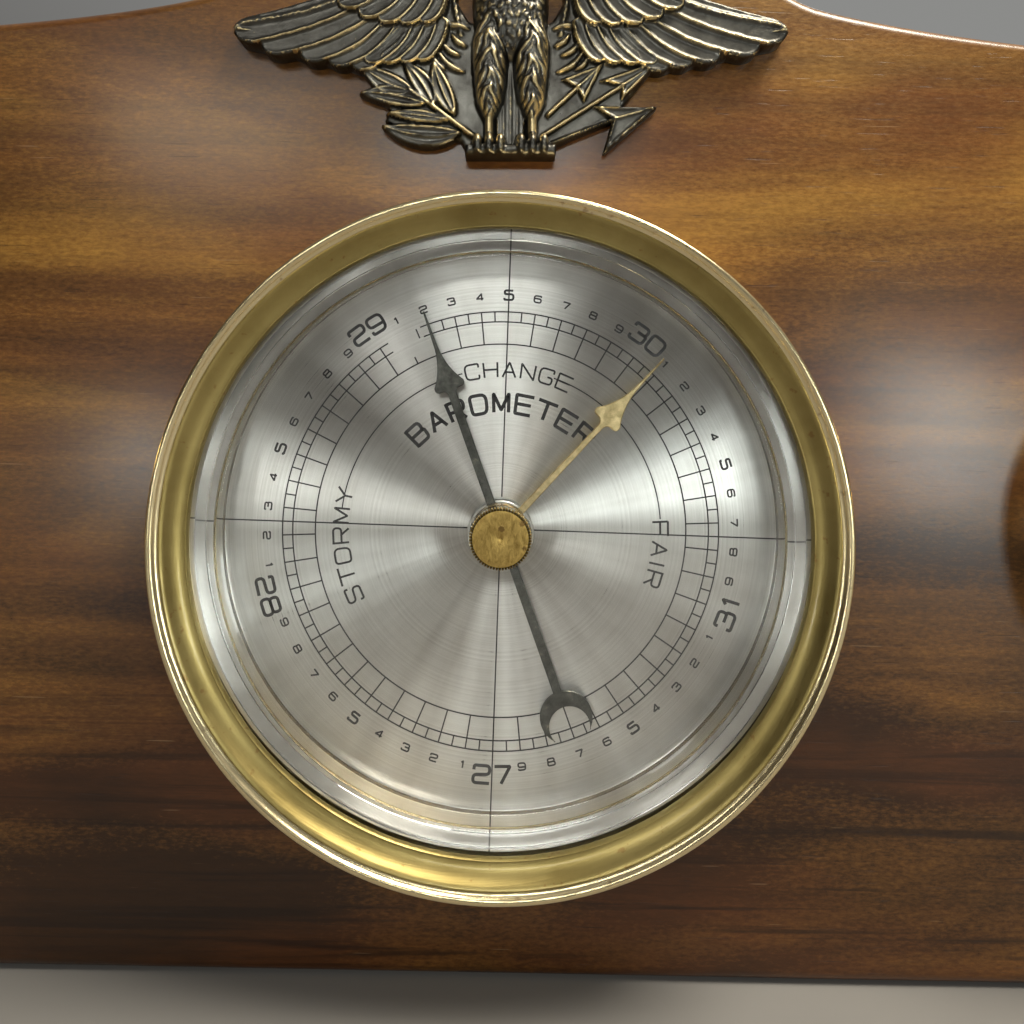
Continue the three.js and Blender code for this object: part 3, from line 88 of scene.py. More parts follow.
PORE_BROWN = (0.014, 0.005, 0.002, 1)
SCRATCH_TAN = (0.42, 0.28, 0.15, 1)


def on_board(x, height, z, across=0.0):
    """A point by its place on the board's face and its height above it, in mm, in the row frame"""
    return ((x + across) * MM, (-BOARD_THICKNESS - height) * MM, (z + AXIS_Z) * MM)


def curve(*points, steps=18):
    """Points after the first along a quadratic or cubic curve"""
    t = np.linspace(0, 1, steps + 1)[1:, None]
    p = [np.array(q, float) for q in points]
    if len(p) == 3:
        return (1 - t) ** 2 * p[0] + 2 * t * (1 - t) * p[1] + t ** 2 * p[2]
    return (1 - t) ** 3 * p[0] + 3 * t * (1 - t) ** 2 * p[1] + 3 * t * t * (1 - t) * p[2] + t ** 3 * p[3]


def board_outline(end=55.0, steps=18):
    """Right half of the scalloped outline from the foot's middle to the crest, and its mirror"""
    turn = np.radians(np.linspace(-90, 90, 4 * steps + 1)[1:])
    half = np.vstack([
        [[0.001, -83.5], [113, -83.5]],
        curve((113, -83.5), (116, -end - 3), (SIDE_X, -end)),
        np.column_stack([SIDE_X + end * np.cos(turn), end * np.sin(turn)]),
        curve((SIDE_X, end), (116, end + 3), (113, 95)),
        curve((113, 95), (78, 98), (60, 102.6)),
        curve((60, 102.6), (44, 108), (38, 128), (16, 128)),
    ])
    return np.vstack([half, half[::-1] * (-1, 1)])


def inset(outline, distance):
    """The outline moved inwards, with its corners kept"""
    before = outline - np.roll(outline, 1, axis=0)
    after = np.roll(outline, -1, axis=0) - outline
    normals = [np.column_stack([-d[:, 1], d[:, 0]]) / np.linalg.norm(d, axis=1)[:, None]
               for d in (before, after)]
    bisector = normals[0] + normals[1]
    bisector /= np.maximum(np.sum(bisector * normals[0], axis=1), 0.3)[:, None]
    return outline + distance * bisector


def rounded_rectangle(width, height, corner, centre_z=0.0, steps=6):
    """Points round a rectangle with rounded corners"""
    points = []
    for i, (sx, sz) in enumerate(((1, -1), (1, 1), (-1, 1), (-1, -1))):
        for turn in np.radians(np.linspace(-90, 0, steps + 1) + 90 * i):
            points.append((sx * (width / 2 - corner) + corner * math.cos(turn),
                           sz * (height / 2 - corner) + corner * math.sin(turn) + centre_z))
    return np.array(points)


def circle(radius, sides, x=0.0, z=0.0):
    """Points round a circle, the first to the right"""
    turn = np.linspace(0, 2 * math.pi, sides, endpoint=False)
    return np.column_stack([x + radius * np.cos(turn), z + radius * np.sin(turn)])


class Skin:
    """The closed surface of a piece, made of loops of points at heights above the board's face"""

    def __init__(self, across=0.0):
        self.points = []
        self.faces = []
        self.across = across

    def add(self, x, z, height):
        """A point of the skin, by its number"""
        self.points.append(on_board(x, height, z, self.across))
        return len(self.points) - 1

    def loop(self, flat, height):
        """Flat points at one height, by their numbers"""
        return [self.add(x, z, height) for x, z in flat]

    def wall(self, *loops):
        """Faces between each loop and the next"""
        for a, b in zip(loops, loops[1:]):
            for i in range(len(a)):
                corners = tuple(dict.fromkeys((a[i - 1], a[i], b[i], b[i - 1])))
                if len(corners) > 2:
                    self.faces.append(corners)

    def fill(self, edges):
        """A flat face inside the outer edges and outside the edges of the holes in it"""
        work = bmesh.new()
        used = dict.fromkeys(i for edge in edges for i in edge)
        corners = {i: work.verts.new(self.points[i]) for i in used}
        places = {v: i for i, v in corners.items()}
        drawn = [work.edges.new((corners[a], corners[b])) for a, b in edges]
        made = bmesh.ops.triangle_fill(work, use_beauty=True, edges=drawn)["geom"]
        self.faces += [tuple(places[v] for v in f.verts) for f in made if isinstance(f, bmesh.types.BMFace)]
        work.free()

    def cap(self, *loops):
        """A flat face inside the first loop and outside the others"""
        self.fill([(a, b) for loop in loops for a, b in zip(loop, loop[1:] + loop[:1])])

    def turn(self, profile, sides=192, x=0.0, z=0.0):
        """A body turned about an axis through x, z from [radius, height] points"""
        loops = [self.loop(circle(r, sides, x, z), h) if r else [self.add(x, z, h)] * sides
                 for r, h in profile]
        self.wall(*loops)
        if profile[0][0] or profile[-1][0]:
            self.wall(loops[-1], loops[0])

    def make(self, name, body, finish, nodes=(), slot=None, sharp=35):
        """The piece as an object that rides on a body and stands for its nodes of the frame"""
        mesh = bpy.data.meshes.new(name)
        mesh.from_pydata(self.points, [], self.faces)
        work = bmesh.new()
        work.from_mesh(mesh)
        bmesh.ops.recalc_face_normals(work, faces=work.faces)
        work.to_mesh(mesh)
        work.free()
        mesh.shade_smooth()
        mesh.set_sharp_from_angle(angle=math.radians(sharp))
        mesh.materials.append(finish)
        piece = bpy.data.objects.new(name, mesh)
        bpy.context.scene.collection.objects.link(piece)
        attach(piece, body)
        if nodes:
            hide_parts(*nodes)
        return piece


def feed(tree, node, inputs):
    """Links a node's inputs to other nodes, or sets them to values"""
    for key, value in inputs.items():
        if isinstance(value, bpy.types.NodeSocket):
            tree.links.new(value, node.inputs[key])
        else:
            node.inputs[key].default_value = value


def node_of(tree, kind, inputs, **settings):
    """A shader node with its settings and inputs"""
    made = tree.nodes.new("ShaderNode" + kind)
    for key, value in settings.items():
        setattr(made, key, value)
    feed(tree, made, inputs)
    return made


def new_finish(name, **values):
    """A finish with the given values on its shader's own sockets"""
    finish = bpy.data.materials.new(name)
    finish.use_nodes = True
    shader = finish.node_tree.nodes["Principled BSDF"]
    for key, value in values.items():
        shader.inputs[key.replace("_", " ")].default_value = value
    return finish, finish.node_tree, shader


def own_place(tree, scale=(1, 1, 1), turn=(0, 0, 0)):
    """The piece's own coordinates in metres, scaled along each axis"""
    place = node_of(tree, "TexCoord", {}).outputs["Object"]
    inputs = {"Vector": place, "Rotation": turn, "Scale": scale}
    return node_of(tree, "Mapping", inputs).outputs["Vector"]


def mottle(tree, vector, scale=1.0, detail=4.0, roughness=0.55, distortion=0.0):
    """Noise at the given place, from nothing to one"""
    inputs = {"Vector": vector, "Scale": scale, "Detail": detail, "Roughness": roughness}
    return node_of(tree, "TexNoise", {**inputs, "Distortion": distortion}).outputs["Fac"]


def grain(tree, scale, turn=(0, 0, 0), **settings):
    """Noise over the piece, with one scale or one for each axis, which draws it out into lines"""
    if isinstance(scale, tuple):
        return mottle(tree, own_place(tree, scale, turn), **settings)
    return mottle(tree, own_place(tree), scale, **settings)


def ramp(tree, factor, stops):
    """Colours or greys at the given places along a factor"""
    made = node_of(tree, "ValToRGB", {"Fac": factor})
    band = made.color_ramp.elements
    while len(band) < len(stops):
        band.new(0.5)
    for element, (place, colour) in zip(band, stops):
        element.position = place
        element.color = colour if isinstance(colour, tuple) else (colour, colour, colour, 1)
    return made.outputs["Color"]


def blend_of(tree, factor, first, second, way="MIX"):
    """Two colours mixed or multiplied by a factor"""
    inputs = {0: factor, 6: first, 7: second}
    return node_of(tree, "Mix", inputs, data_type="RGBA", blend_type=way).outputs[2]


def sum_of(tree, first, second, way="ADD"):
    """Two values added, or put together in another way"""
    return node_of(tree, "Math", {0: first, 1: second}, operation=way).outputs[0]


def product_of(tree, first, second):
    return sum_of(tree, first, second, "MULTIPLY")


def line_of(tree, value, slope, start):
    """A value times a slope, added to a start"""
    return node_of(tree, "Math", {0: value, 1: slope, 2: start}, operation="MULTIPLY_ADD").outputs[0]


def raise_by(tree, shader, height, depth, strength=1.0):
    """Small relief on the surface, with its depth in metres"""
    bump = node_of(tree, "Bump", {"Height": height, "Distance": depth, "Strength": strength})
    tree.links.new(bump.outputs["Normal"], shader.inputs["Normal"])


board = Skin()
outline = board_outline()
easing = [(BOARD_ROUND * (1 - math.cos(a)), -BOARD_ROUND * (1 - math.sin(a)))
          for a in np.radians(np.linspace(0, 90, 9))]
skirt = [board.loop(outline, -BOARD_THICKNESS)] + [board.loop(inset(outline, d), h) for d, h in easing]
board.wall(*skirt)
front_holes = [board.loop(circle(radius, 96, x), 0) for x, radius in BORES]
back_holes = [board.loop(circle(radius, 96, x), -BOARD_THICKNESS) for x, radius in BORES]
for front_hole, back_hole in zip(front_holes, back_holes):
    board.wall(front_hole, back_hole)
recess_outline = rounded_rectangle(*PLATE_RECESS, HANGER_Z)
recess = [board.loop(recess_outline, h) for h in (-BOARD_THICKNESS, RECESS_FLOOR)]
pocket_outline = rounded_rectangle(*NAIL_POCKET, HANGER_Z + 0.5)
pocket = [board.loop(pocket_outline, h) for h in (RECESS_FLOOR, POCKET_FLOOR)]
board.wall(*recess)
board.wall(*pocket)
board.cap(skirt[-1], *front_holes)
board.cap(skirt[0], *back_holes, recess[0])
board.cap(recess[1], pocket[0])
board.cap(pocket[1])

stained_wood, tree, shader = new_finish(
    "stained_wood", Coat_Weight=0.45, Coat_Roughness=0.22, Specular_IOR_Level=0.25)
place = node_of(tree, "TexCoord", {}).outputs["Object"]
rise = node_of(tree, "SeparateXYZ", {0: place}).outputs["Z"]
figure = grain(tree, (7, 30, 34), detail=5, roughness=0.55, distortion=0.6)
bands = grain(tree, (6, 130, 170), detail=5, roughness=0.6, distortion=0.3)
fibres = grain(tree, (260, 900, 1500), roughness=0.7)
specks = grain(tree, (700, 1200, 1800), detail=3, roughness=0.75)
pores = grain(tree, (90, 900, 2400), detail=2, roughness=0.5)
pores = ramp(tree, pores, [(0.66, 0.0), (0.73, 1.0)])
scratches = grain(tree, (70, 900, 2600), (0, 0.03, 0), detail=1)
scratches = ramp(tree, scratches, [(0.75, 0.0), (0.78, 1.0)])
dark_grain = grain(tree, (9, 150, 330), roughness=0.6, distortion=0.5)
dark_grain = ramp(tree, dark_grain, [(0.55, 0.0), (0.64, 1.0)])
# Painted shade and light: the tone falls towards the bottom of the board and rises towards its top, partly
# the stain's own change and partly painted shade below and painted light above. The dark grain streaks grow
# stronger towards the foot.
at_foot = ramp(tree, product_of(tree, rise, -8.0), [(0.62, 0.08), (0.95, 0.75)])
tone = sum_of(tree, sum_of(tree, line_of(tree, rise, 1.5, 0.06), figure), -0.18)
tone = line_of(tree, specks, 0.36, tone)
colour = ramp(tree, tone, [(0.34, STAIN_DARK), (0.52, STAIN_MIDDLE), (0.72, STAIN_LIGHT)])
cloud = ramp(tree, grain(tree, (14, 40, 40), (0, 0.3, 0), detail=3), [(0.42, 0.0), (0.68, 0.6)])
colour = blend_of(tree, cloud, colour, SAP_RED)
colour = blend_of(tree, 0.55, colour, ramp(tree, bands, [(0.34, 0.4), (0.6, 1.0)]), "MULTIPLY")
colour = blend_of(tree, 0.4, colour, ramp(tree, fibres, [(0.35, 0.45), (0.62, 1.0)]), "MULTIPLY")
colour = blend_of(tree, product_of(tree, dark_grain, at_foot), colour, STREAK_BROWN)
colour = blend_of(tree, product_of(tree, pores, 0.45), colour, PORE_BROWN)
colour = blend_of(tree, product_of(tree, scratches, 0.3), colour, SCRATCH_TAN)
feed(tree, shader, {"Base Color": colour, "Roughness": line_of(tree, specks, 0.3, 0.2)})
relief = sum_of(tree, product_of(tree, bands, 0.6), sum_of(tree, fibres, specks))
raise_by(tree, shader, sum_of(tree, relief, pores, "SUBTRACT"), 0.00002)

board.make("stained_plaque", "plaque", stained_wood, ["plaque_board"], sharp=30)

# Hanger: a keyhole plate of bright zinc-plated steel, let in flush with the back and held by two
# countersunk slotted wood screws.
HANGER_SCREW_REACH = 17.5
SCREW_HEAD, SCREW_SHANK, THREAD_ROOT = 2.0, 1.1, 0.8
THREAD_PITCH, THREAD_TURNS = 0.8, 9
PLATE_BACK = -18.9


def dress(finish, *nodes):
    """Gives nodes of the frame that keep their shape a finish"""
    for node in nodes:
        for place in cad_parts[node].material_slots:
            place.link = "OBJECT"
            place.material = finish


def slotted_head(skin, radius, face, foot, x=0.0, z=0.0, slot=0.22, deep=0.8, turned_by=0.6, sides=48):
    """A flat screw head with a sawn slot, its face at one height and its foot at another"""
    outwards = 1 if face > foot else -1
    rim = skin.loop(circle(radius - 0.15, sides, x, z), face)
    edge = skin.loop(circle(radius, sides, x, z), face - 0.15 * outwards)
    base = skin.loop(circle(radius, sides, x, z), foot)
    reach = 0.86 * radius
    c, s = math.cos(turned_by), math.sin(turned_by)
    corners = [(x + c * u - s * v, z + s * u + c * v)
               for u, v in ((-reach, -slot), (reach, -slot), (reach, slot), (-reach, slot))]
    brink = skin.loop(corners, face)
    floor_of_slot = skin.loop(corners, face - deep * outwards)
    skin.wall(base, edge, rim)
    skin.wall(brink, floor_of_slot)
    skin.cap(rim, brink)
    skin.cap(floor_of_slot)
    return base


def headed_screw(head, x, z, shank, end, sides=48):
    """A screw by its slotted head, the radii and heights along its shank, and its end"""
    screw = Skin()
    base = slotted_head(screw, x=x, z=z, sides=sides, **head)
    loops = [screw.loop(circle(r, sides, x, z), h) for r, h in shank]
    screw.wall(base, *loops, [screw.add(x, z, end)] * sides)
    return screw


def hazed_metal(name, scale, shades, dull, relief=None, **settings):
    """A bare metal mottled by a fine haze; dull is its roughness, or the haze's share and a start"""
    finish, tree, shader = new_finish(name, Metallic=1.0)
    haze = grain(tree, scale, **settings)
    dull = line_of(tree, haze, *dull) if isinstance(dull, tuple) else dull
    feed(tree, shader, {"Base Color": ramp(tree, haze, shades), "Roughness": dull})
    raise_by(tree, shader, grain(tree, relief) if relief else haze, 0.00001)
    return finish


plated_steel = hazed_metal(
    "plated_steel", 260, [(0.3, (0.42, 0.42, 0.41, 1)), (0.7, (0.62, 0.62, 0.6, 1))], (0.3, 0.18),
    relief=(300, 300, 4000), detail=5)

dress(plated_steel, "hanger_plate")
neck = PLATE_BACK + 0.3
shank = [(SCREW_SHANK, neck + 0.9)]
for i in range(THREAD_TURNS):
    shank.append((SCREW_SHANK, neck + 1.2 + i * THREAD_PITCH))
    shank.append((THREAD_ROOT, neck + 1.6 + i * THREAD_PITCH))
for name, side, turned_by in (("lower", -1, 0.5), ("upper", 1, 1.9)):
    head = {"radius": SCREW_HEAD, "face": PLATE_BACK, "foot": neck, "deep": 0.55, "turned_by": turned_by}
    screw = headed_screw(head, 0, HANGER_Z + side * HANGER_SCREW_REACH, shank, neck + 9.4)
    screw.make("slotted_hanger_screw_" + name, "plaque", plated_steel, ["hanger_screw_" + name])

# Eagle: one bronze casting with a flat back, chased feathers, an olive branch and three arrows,
# stained dark and then rubbed so that the raised edges shine as brass. Two cast pegs hold it.
EAGLE_X, EAGLE_FOOT = 0.5, 69.4
EAGLE_TURN = math.radians(0.95)
CASTING_PITCH = 0.22
SEAT = 0.1
WING_PLATE = 2.9
WEB_PLATE = 1.9
BASE_DEPTH = 5.6
PEG_X, PEG_Z, PEG_RADIUS, PEG_LENGTH = 21.0, 24.0, 1.3, 5.0
FEATHER_STEP = 0.28

# Feathers of a wing, drawn for the right: root, tip, width, bow and layers above the wing plate
PRIMARIES = [
    [(25.5, 33.2), (52.6, 24.2), 5.6, -1.0, 5],
    [(25.5, 29.8), (47.4, 21.6), 4.4, -1.3, 4],
    [(23.6, 29.0), (39.9, 19.9), 3.8, -1.6, 3],
    [(21.8, 28.2), (34.6, 18.9), 3.6, -1.7, 2],
    [(20.2, 27.6), (30.0, 18.0), 3.5, -1.6, 1],
]
SECONDARIES = [
    [(18.8, 28.2), (27.6, 19.0), 3.3, -1.3, 2.2],
    [(16.8, 28.2), (24.5, 19.1), 3.3, -1.2, 1.8],
    [(14.8, 28.2), (21.0, 19.2), 3.3, -1.1, 1.4],
    [(12.8, 28.0), (17.6, 19.5), 3.2, -0.9, 1.0],
]
COVERTS = [
    [(21.4, 36.6), (32.6, 29.4), 4.2, -1.0, 8.2],
    [(19.2, 36.2), (28.6, 27.4), 4.0, -1.2, 7.4],
    [(17.0, 35.8), (24.8, 26.3), 4.0, -1.2, 6.6],
    [(15.0, 34.8), (20.8, 26.1), 3.9, -1.1, 5.8],
    [(13.0, 33.8), (17.0, 26.4), 3.7, -0.8, 5.0],
]
UPPER_COVERTS = [
    [(19.0, 42.0), (27.6, 34.8), 4.0, -0.8, 11.2],
    [(16.8, 41.0), (23.8, 33.0), 4.0, -0.9, 10.4],
    [(14.8, 39.8), (20.2, 31.9), 3.8, -0.8, 9.6],
    [(12.9, 38.4), (16.8, 31.4), 3.6, -0.6, 8.8],
    [(15.4, 45.2), (21.6, 39.2), 3.6, -0.6, 13.0],
    [(13.6, 44.4), (17.8, 37.8), 3.6, -0.5, 12.2],
    [(12.0, 43.2), (14.6, 36.8), 3.2, -0.3, 11.4],
]
CURLS = [
    [(8.0, 26.0), (15.4, 25.2), 1.1],
    [(9.6, 20.8), (13.4, 24.2), -0.8],
    [(8.8, 17.6), (14.2, 22.6), -1.1],
    [(12.4, 18.0), (15.0, 21.6), -0.7],
    [(8.4, 22.6), (11.4, 25.2), -0.5],
]
LEAVES = [
    [(-18.6, 13.6), (-28.9, 19.0), 4.4, 0.9],
    [(-16.4, 11.2), (-29.2, 13.3), 4.0, -0.7],
    [(-9.4, 5.6), (-25.0, 7.2), 4.4, 1.3],
    [(-11.6, 8.0), (-24.2, 9.4), 2.6, -0.3],
    [(-14.6, 10.6), (-20.6, 19.6), 3.9, -0.6],
    [(-10.6, 9.0), (-14.9, 19.8), 3.7, 0.5],
]
ARROWS = [
    [(17.9, 19.3), (9.9, 16.1), (12.7, 14.4), (14.1, 11.8), (7.2, 9.2)],
    [(29.5, 20.3), (17.2, 15.9), (21.2, 14.8), (21.2, 12.1), (5.8, 4.9)],
    [(28.4, 10.9), (15.8, 11.0), (19.6, 8.4), (17.6, 1.5), (7.6, 3.5)],
]


def raised_line(distance, width):
    """A smooth ridge, one high on its middle line"""
    return np.exp(-(distance / width) ** 2)


def inside_polygon(x, z, corners):
    """Distance inside a polygon's edge, less than nothing outside it"""
    corners = np.array(corners, float)
    nearest = np.full(x.shape, 1e9)
    within = np.zeros(x.shape, bool)
    for (x0, z0), (x1, z1) in zip(corners, np.roll(corners, -1, axis=0)):
        dx, dz = x1 - x0, z1 - z0
        share = np.clip(((x - x0) * dx + (z - z0) * dz) / (dx * dx + dz * dz + 1e-12), 0, 1)
        nearest = np.minimum(nearest, np.hypot(x - x0 - share * dx, z - z0 - share * dz))
        if z0 != z1:
            crosses = ((z0 > z) != (z1 > z)) & (x < x0 + (z - z0) * dx / dz)
            within ^= crosses
    return np.where(within, nearest, -nearest)


def along_blade(x, z, root, tip, bow):
    """Share of the way along a bowed line, distance to its left and its length"""
    (x0, z0), (x1, z1) = root, tip
    length = math.hypot(x1 - x0, z1 - z0)
    ux, uz = (x1 - x0) / length, (z1 - z0) / length
    share = ((x - x0) * ux + (z - z0) * uz) / length
    left = (z - z0) * ux - (x - x0) * uz
    return share, left - 4 * bow * share * (1 - share), length


def rounded(share):
    """The height of a quarter round, from nothing at its edge to one"""
    return np.sqrt(np.clip(share, 0, 1))


class Casting:
    """Heights of a flat-backed casting at points x, z, built up from overlapping forms"""

    def __init__(self, x, z):
        self.x, self.z = x, z
        self.edge = np.full(x.shape, -9.0)
        self.top = np.zeros(x.shape)

    def lay(self, edge, height):
        """Lays a form on the casting where it stands higher than what is there"""
        self.edge = np.maximum(self.edge, edge)
        self.top = np.where(edge > 0, np.maximum(self.top, height), self.top)

    def mould(self, edge, height, blend=0.45):
        """Lays a form with a soft join to what is under it"""
        self.edge = np.maximum(self.edge, edge)
        gap = np.clip(0.5 + (height - self.top) / (2 * blend), 0, 1)
        soft = self.top + (height - self.top) * gap + blend * gap * (1 - gap)
        self.top = np.where(edge > 0, soft, self.top)

    def feather(self, x, root, tip, width, bow, layer):
        """A feather with a sharp raised edge along its lower side and round its tip"""
        share, left, length = along_blade(x, self.z, root, tip, bow)
        before_tip = (1 - share) * length
        round_end = 0.7 * width
        half = 0.5 * width * (0.62 + 0.38 * rounded(2 * share))
        half = half * rounded(1 - np.clip(1 - before_tip / round_end, 0, 1) ** 2)
        edge = np.where(share < 1, half - np.abs(left), -np.hypot(before_tip, left))
        edge = np.minimum(edge, share * length)
        lower = half + left
        wander = 0.05 * np.sin(2.1 * x + 1.3 * self.z + layer)
        height = WING_PLATE + layer * FEATHER_STEP - 0.25 + 0.2 * np.clip(1 - lower / width, 0, 1)
        height = height + 0.4 * raised_line(np.minimum(lower, edge + 0.1) - 0.32 - wander, 0.22)
        height = height - 0.3 * np.clip(1 - edge / 0.2, 0, 1)
        self.lay(edge, height)

    def wing(self, side):
        """A wing: a plate with four ranks of feathers, a rolled upper rim and curls at the body"""
        x = side * self.x
        tip = 53.0
        top = np.vstack([
            [(tip, 24.6)],
            curve((tip, 24.6), (tip - 0.4, 26.4), (tip - 3, 26.9), steps=5),
            curve((tip - 3, 26.9), (tip - 17, 28.6), (tip - 27, 34.5), steps=8),
            curve((tip - 27, 34.5), (19, 39.5), (16.2, 44.2), steps=8),
            curve((16.2, 44.2), (14, 47), (11.6, 44), steps=6),
            curve((11.6, 44), (9.6, 39), (10.2, 31.5), steps=8),
        ])
        foot = np.array([(8.2, 28), (6, 27), (6, 19), (28.6, 18.6), (29.4, 17.6), (31.4, 18.4), (34.2, 18.7),
                         (37.4, 19.6), (39.4, 19.8), (44, 21.2), (47, 21.7), (50.6, 22.4), (tip, 24.6)])
        plate = inside_polygon(x, self.z, np.vstack([top, foot]))
        outer = np.clip((x - 25) / 5, 0, 1)
        self.lay(plate, WEB_PLATE - 0.3 + (WING_PLATE - WEB_PLATE - 0.1) * outer)
        for feather in PRIMARIES + SECONDARIES + COVERTS + UPPER_COVERTS:
            self.feather(x, *feather)
        rim = inside_polygon(x, self.z, np.vstack([top, [(8, 20), (40, 19.6)]]))
        roll = np.where((rim > 0) & (self.z > 24.5), 0.6 * raised_line(rim - 0.7, 0.5), 0)
        roll = roll * (1 + 0.25 * np.sin(3.1 * x + 2 * np.sin(1.7 * x)) * np.sin(4.3 * self.z + x))
        self.top = np.where(plate > 0, self.top + roll, self.top)
        for start, end, bow in CURLS:
            self.curl(x, start, end, bow)

    def curl(self, x, start, end, bow):
        """A tapering curved lock where the wing joins the body"""
        share, left, length = along_blade(x, self.z, start, end, bow)
        half = 0.62 * np.sin(np.pi * np.clip(share, 0, 1) ** 0.8) ** 0.7
        edge = np.where((share > 0) & (share < 1), half - np.abs(left), -1)
        self.mould(edge, WEB_PLATE + 0.1 + 0.8 * rounded(edge / 0.62), 0.3)

    def leaf(self, root, tip, width, bow):
        """An olive leaf with a raised rim and midrib, pointed at both ends"""
        share, left, length = along_blade(self.x, self.z, root, tip, bow)
        inner = np.clip(share, 0, 1)
        half = 0.5 * width * np.sin(np.pi * inner ** 0.85) ** 0.75
        edge = np.where((share > 0) & (share < 1), half - np.abs(left), -np.abs(left) - 0.2)
        hollow = np.clip(edge / 0.9, 0, 1)
        rim = 0.5 * raised_line(edge - 0.45, 0.34)
        midrib = 0.62 * raised_line(left, 0.24) * hollow
        self.lay(edge, WEB_PLATE + 0.45 + rim + midrib)

    def cord(self, start, end, half, height, bow=0.0):
        """A round raised line from one point to another"""
        share, left, length = along_blade(self.x, self.z, start, end, bow)
        past = np.maximum(-share, share - 1).clip(0) * length
        edge = half - np.hypot(left, past)
        self.mould(edge, height + 0.8 * rounded(edge / half), 0.15)

    def arrow(self, tip, upper, notch, lower, tail):
        """An arrow with a four-cornered head, ridged along its edges and its middle"""
        self.cord(tail, notch, 0.4, WEB_PLATE + 0.2)
        edge = inside_polygon(self.x, self.z, [tip, upper, notch, lower])
        share, left, length = along_blade(self.x, self.z, notch, tip, 0)
        height = WEB_PLATE + 0.3 + 0.6 * raised_line(edge - 0.36, 0.27) + 0.55 * raised_line(left, 0.25)
        self.lay(edge, height)

    def dome(self, x, z, half_width, half_height, foot, rise, blend=0.6):
        """An oval swelling with a soft join; gives the distance inside its edge"""
        radius = np.hypot((self.x - x) / half_width, (self.z - z) / half_height)
        edge = (1 - radius) * min(half_width, half_height)
        self.mould(edge, foot + rise * rounded(1 - radius ** 2), blend)
        return edge

    def scales(self, edge, row, column, depth):
        """Overlapping drop-shaped feathers over a moulded form, highest at their lower ends"""
        sway = 0.25 * np.sin(1.9 * self.z) + 0.2 * np.sin(1.3 * self.x + 0.7 * self.z)
        tier = (self.z + 0.3 * np.sin(2.2 * self.x)) / row
        u = np.mod((self.x + sway) / column + 0.5 * np.mod(np.floor(tier), 2), 1) - 0.5
        v = np.mod(tier, 1)
        radius = np.where(v < 0.45, np.hypot(2 * u, (0.45 - v) / 0.45), 2 * np.abs(u) * (0.55 + v))
        drop = np.clip(3.0 * (1 - radius), 0, 1) * np.clip(1.12 - v, 0, 1)
        self.top = np.where(edge > 0, self.top + depth * drop * np.clip(edge / 1.2, 0, 1), self.top)

    def thigh(self, side):
        """A feathered thigh with coarse strands that fall outwards from its middle line"""
        heights = [7.0, 8.6, 11, 15, 19, 23, 26.5, 28.5]
        half = np.interp(self.z, heights, [0.3, 1.35, 2.5, 3.1, 3.45, 3.4, 2.7, 0.4])
        middle = side * np.interp(self.z, heights, [4.1, 4.05, 4.0, 3.9, 3.9, 3.95, 3.8, 3.6])
        away = self.x - middle
        edge = np.where((self.z > 7) & (self.z < 28.5), half - np.abs(away), -1)
        rise = np.interp(self.z, heights, [1.6, 3.0, 4.0, 4.5, 4.7, 4.5, 3.6, 1.5])
        self.mould(edge, WEB_PLATE + rise * rounded(1 - (away / half) ** 2), 0.35)
        wander = 0.3 * np.sin(1.1 * self.z + 2 * side) + 0.1 * np.sin(2.7 * self.z + self.x)
        strand = (np.abs(away - wander) + 0.5 * self.z + 0.12 * np.sin(1.9 * away + self.z)) / 1.25
        ridge = 1 - np.abs(np.mod(strand, 1) - 0.42) / 0.55
        ridge = np.clip(1.5 * ridge, 0, 1) ** 0.8
        lock = 0.7 + 0.3 * np.sin(2.4 * np.floor(strand) + 1.3 * side + 0.8 * self.z)
        relief = 0.85 * (ridge * lock - 0.5) * np.clip(1.2 * edge, 0, 1)
        self.top = np.where(edge > 0, self.top + relief, self.top)

    def foot(self, side):
        """A shin and three thick toes that grip the base"""
        x = side * 4.1
        self.cord((x, 8.4), (x, 3.0), 0.85, WEB_PLATE + 2.0)
        for shift in (-2.15, 0.0, 2.15):
            toe_x = x + shift
            self.dome(toe_x, 3.0, 1.05, 2.0, BASE_DEPTH - 1.5, 1.9, 0.15)
            self.dome(toe_x, 1.9, 0.85, 1.0, BASE_DEPTH - 0.9, 1.2, 0.15)

    def head(self):
        """Head turned to the viewer's left, with a hooked beak, brow and eye"""
        self.dome(-1.0, 45.6, 3.7, 3.9, WEB_PLATE + 0.6, 4.4)
        beak = [(-3.0, 47.3), (-5.4, 47.2), (-7.2, 46.0), (-7.7, 44.4), (-7.3, 43.0), (-6.4, 43.9),
                (-5.2, 44.3), (-3.0, 43.9)]
        edge = inside_polygon(self.x, self.z, beak)
        self.mould(edge, WEB_PLATE + 2.2 + 1.6 * rounded(edge / 1.7), 0.3)
        share, left, length = along_blade(self.x, self.z, (-3.9, 47.4), (-0.4, 48.1), 0.3)
        brow = np.where((share > 0) & (share < 1), raised_line(left, 0.35), 0)
        eye = raised_line(np.hypot(self.x + 2.3, self.z - 46.7), 0.55)
        mouth = np.where((self.x < -3.6) & (self.x > -7), raised_line(self.z - 45.0 + 0.1 * self.x, 0.18), 0)
        self.top = np.where(self.edge > 0, self.top + 0.5 * brow + 0.35 * eye - 0.4 * mouth, self.top)


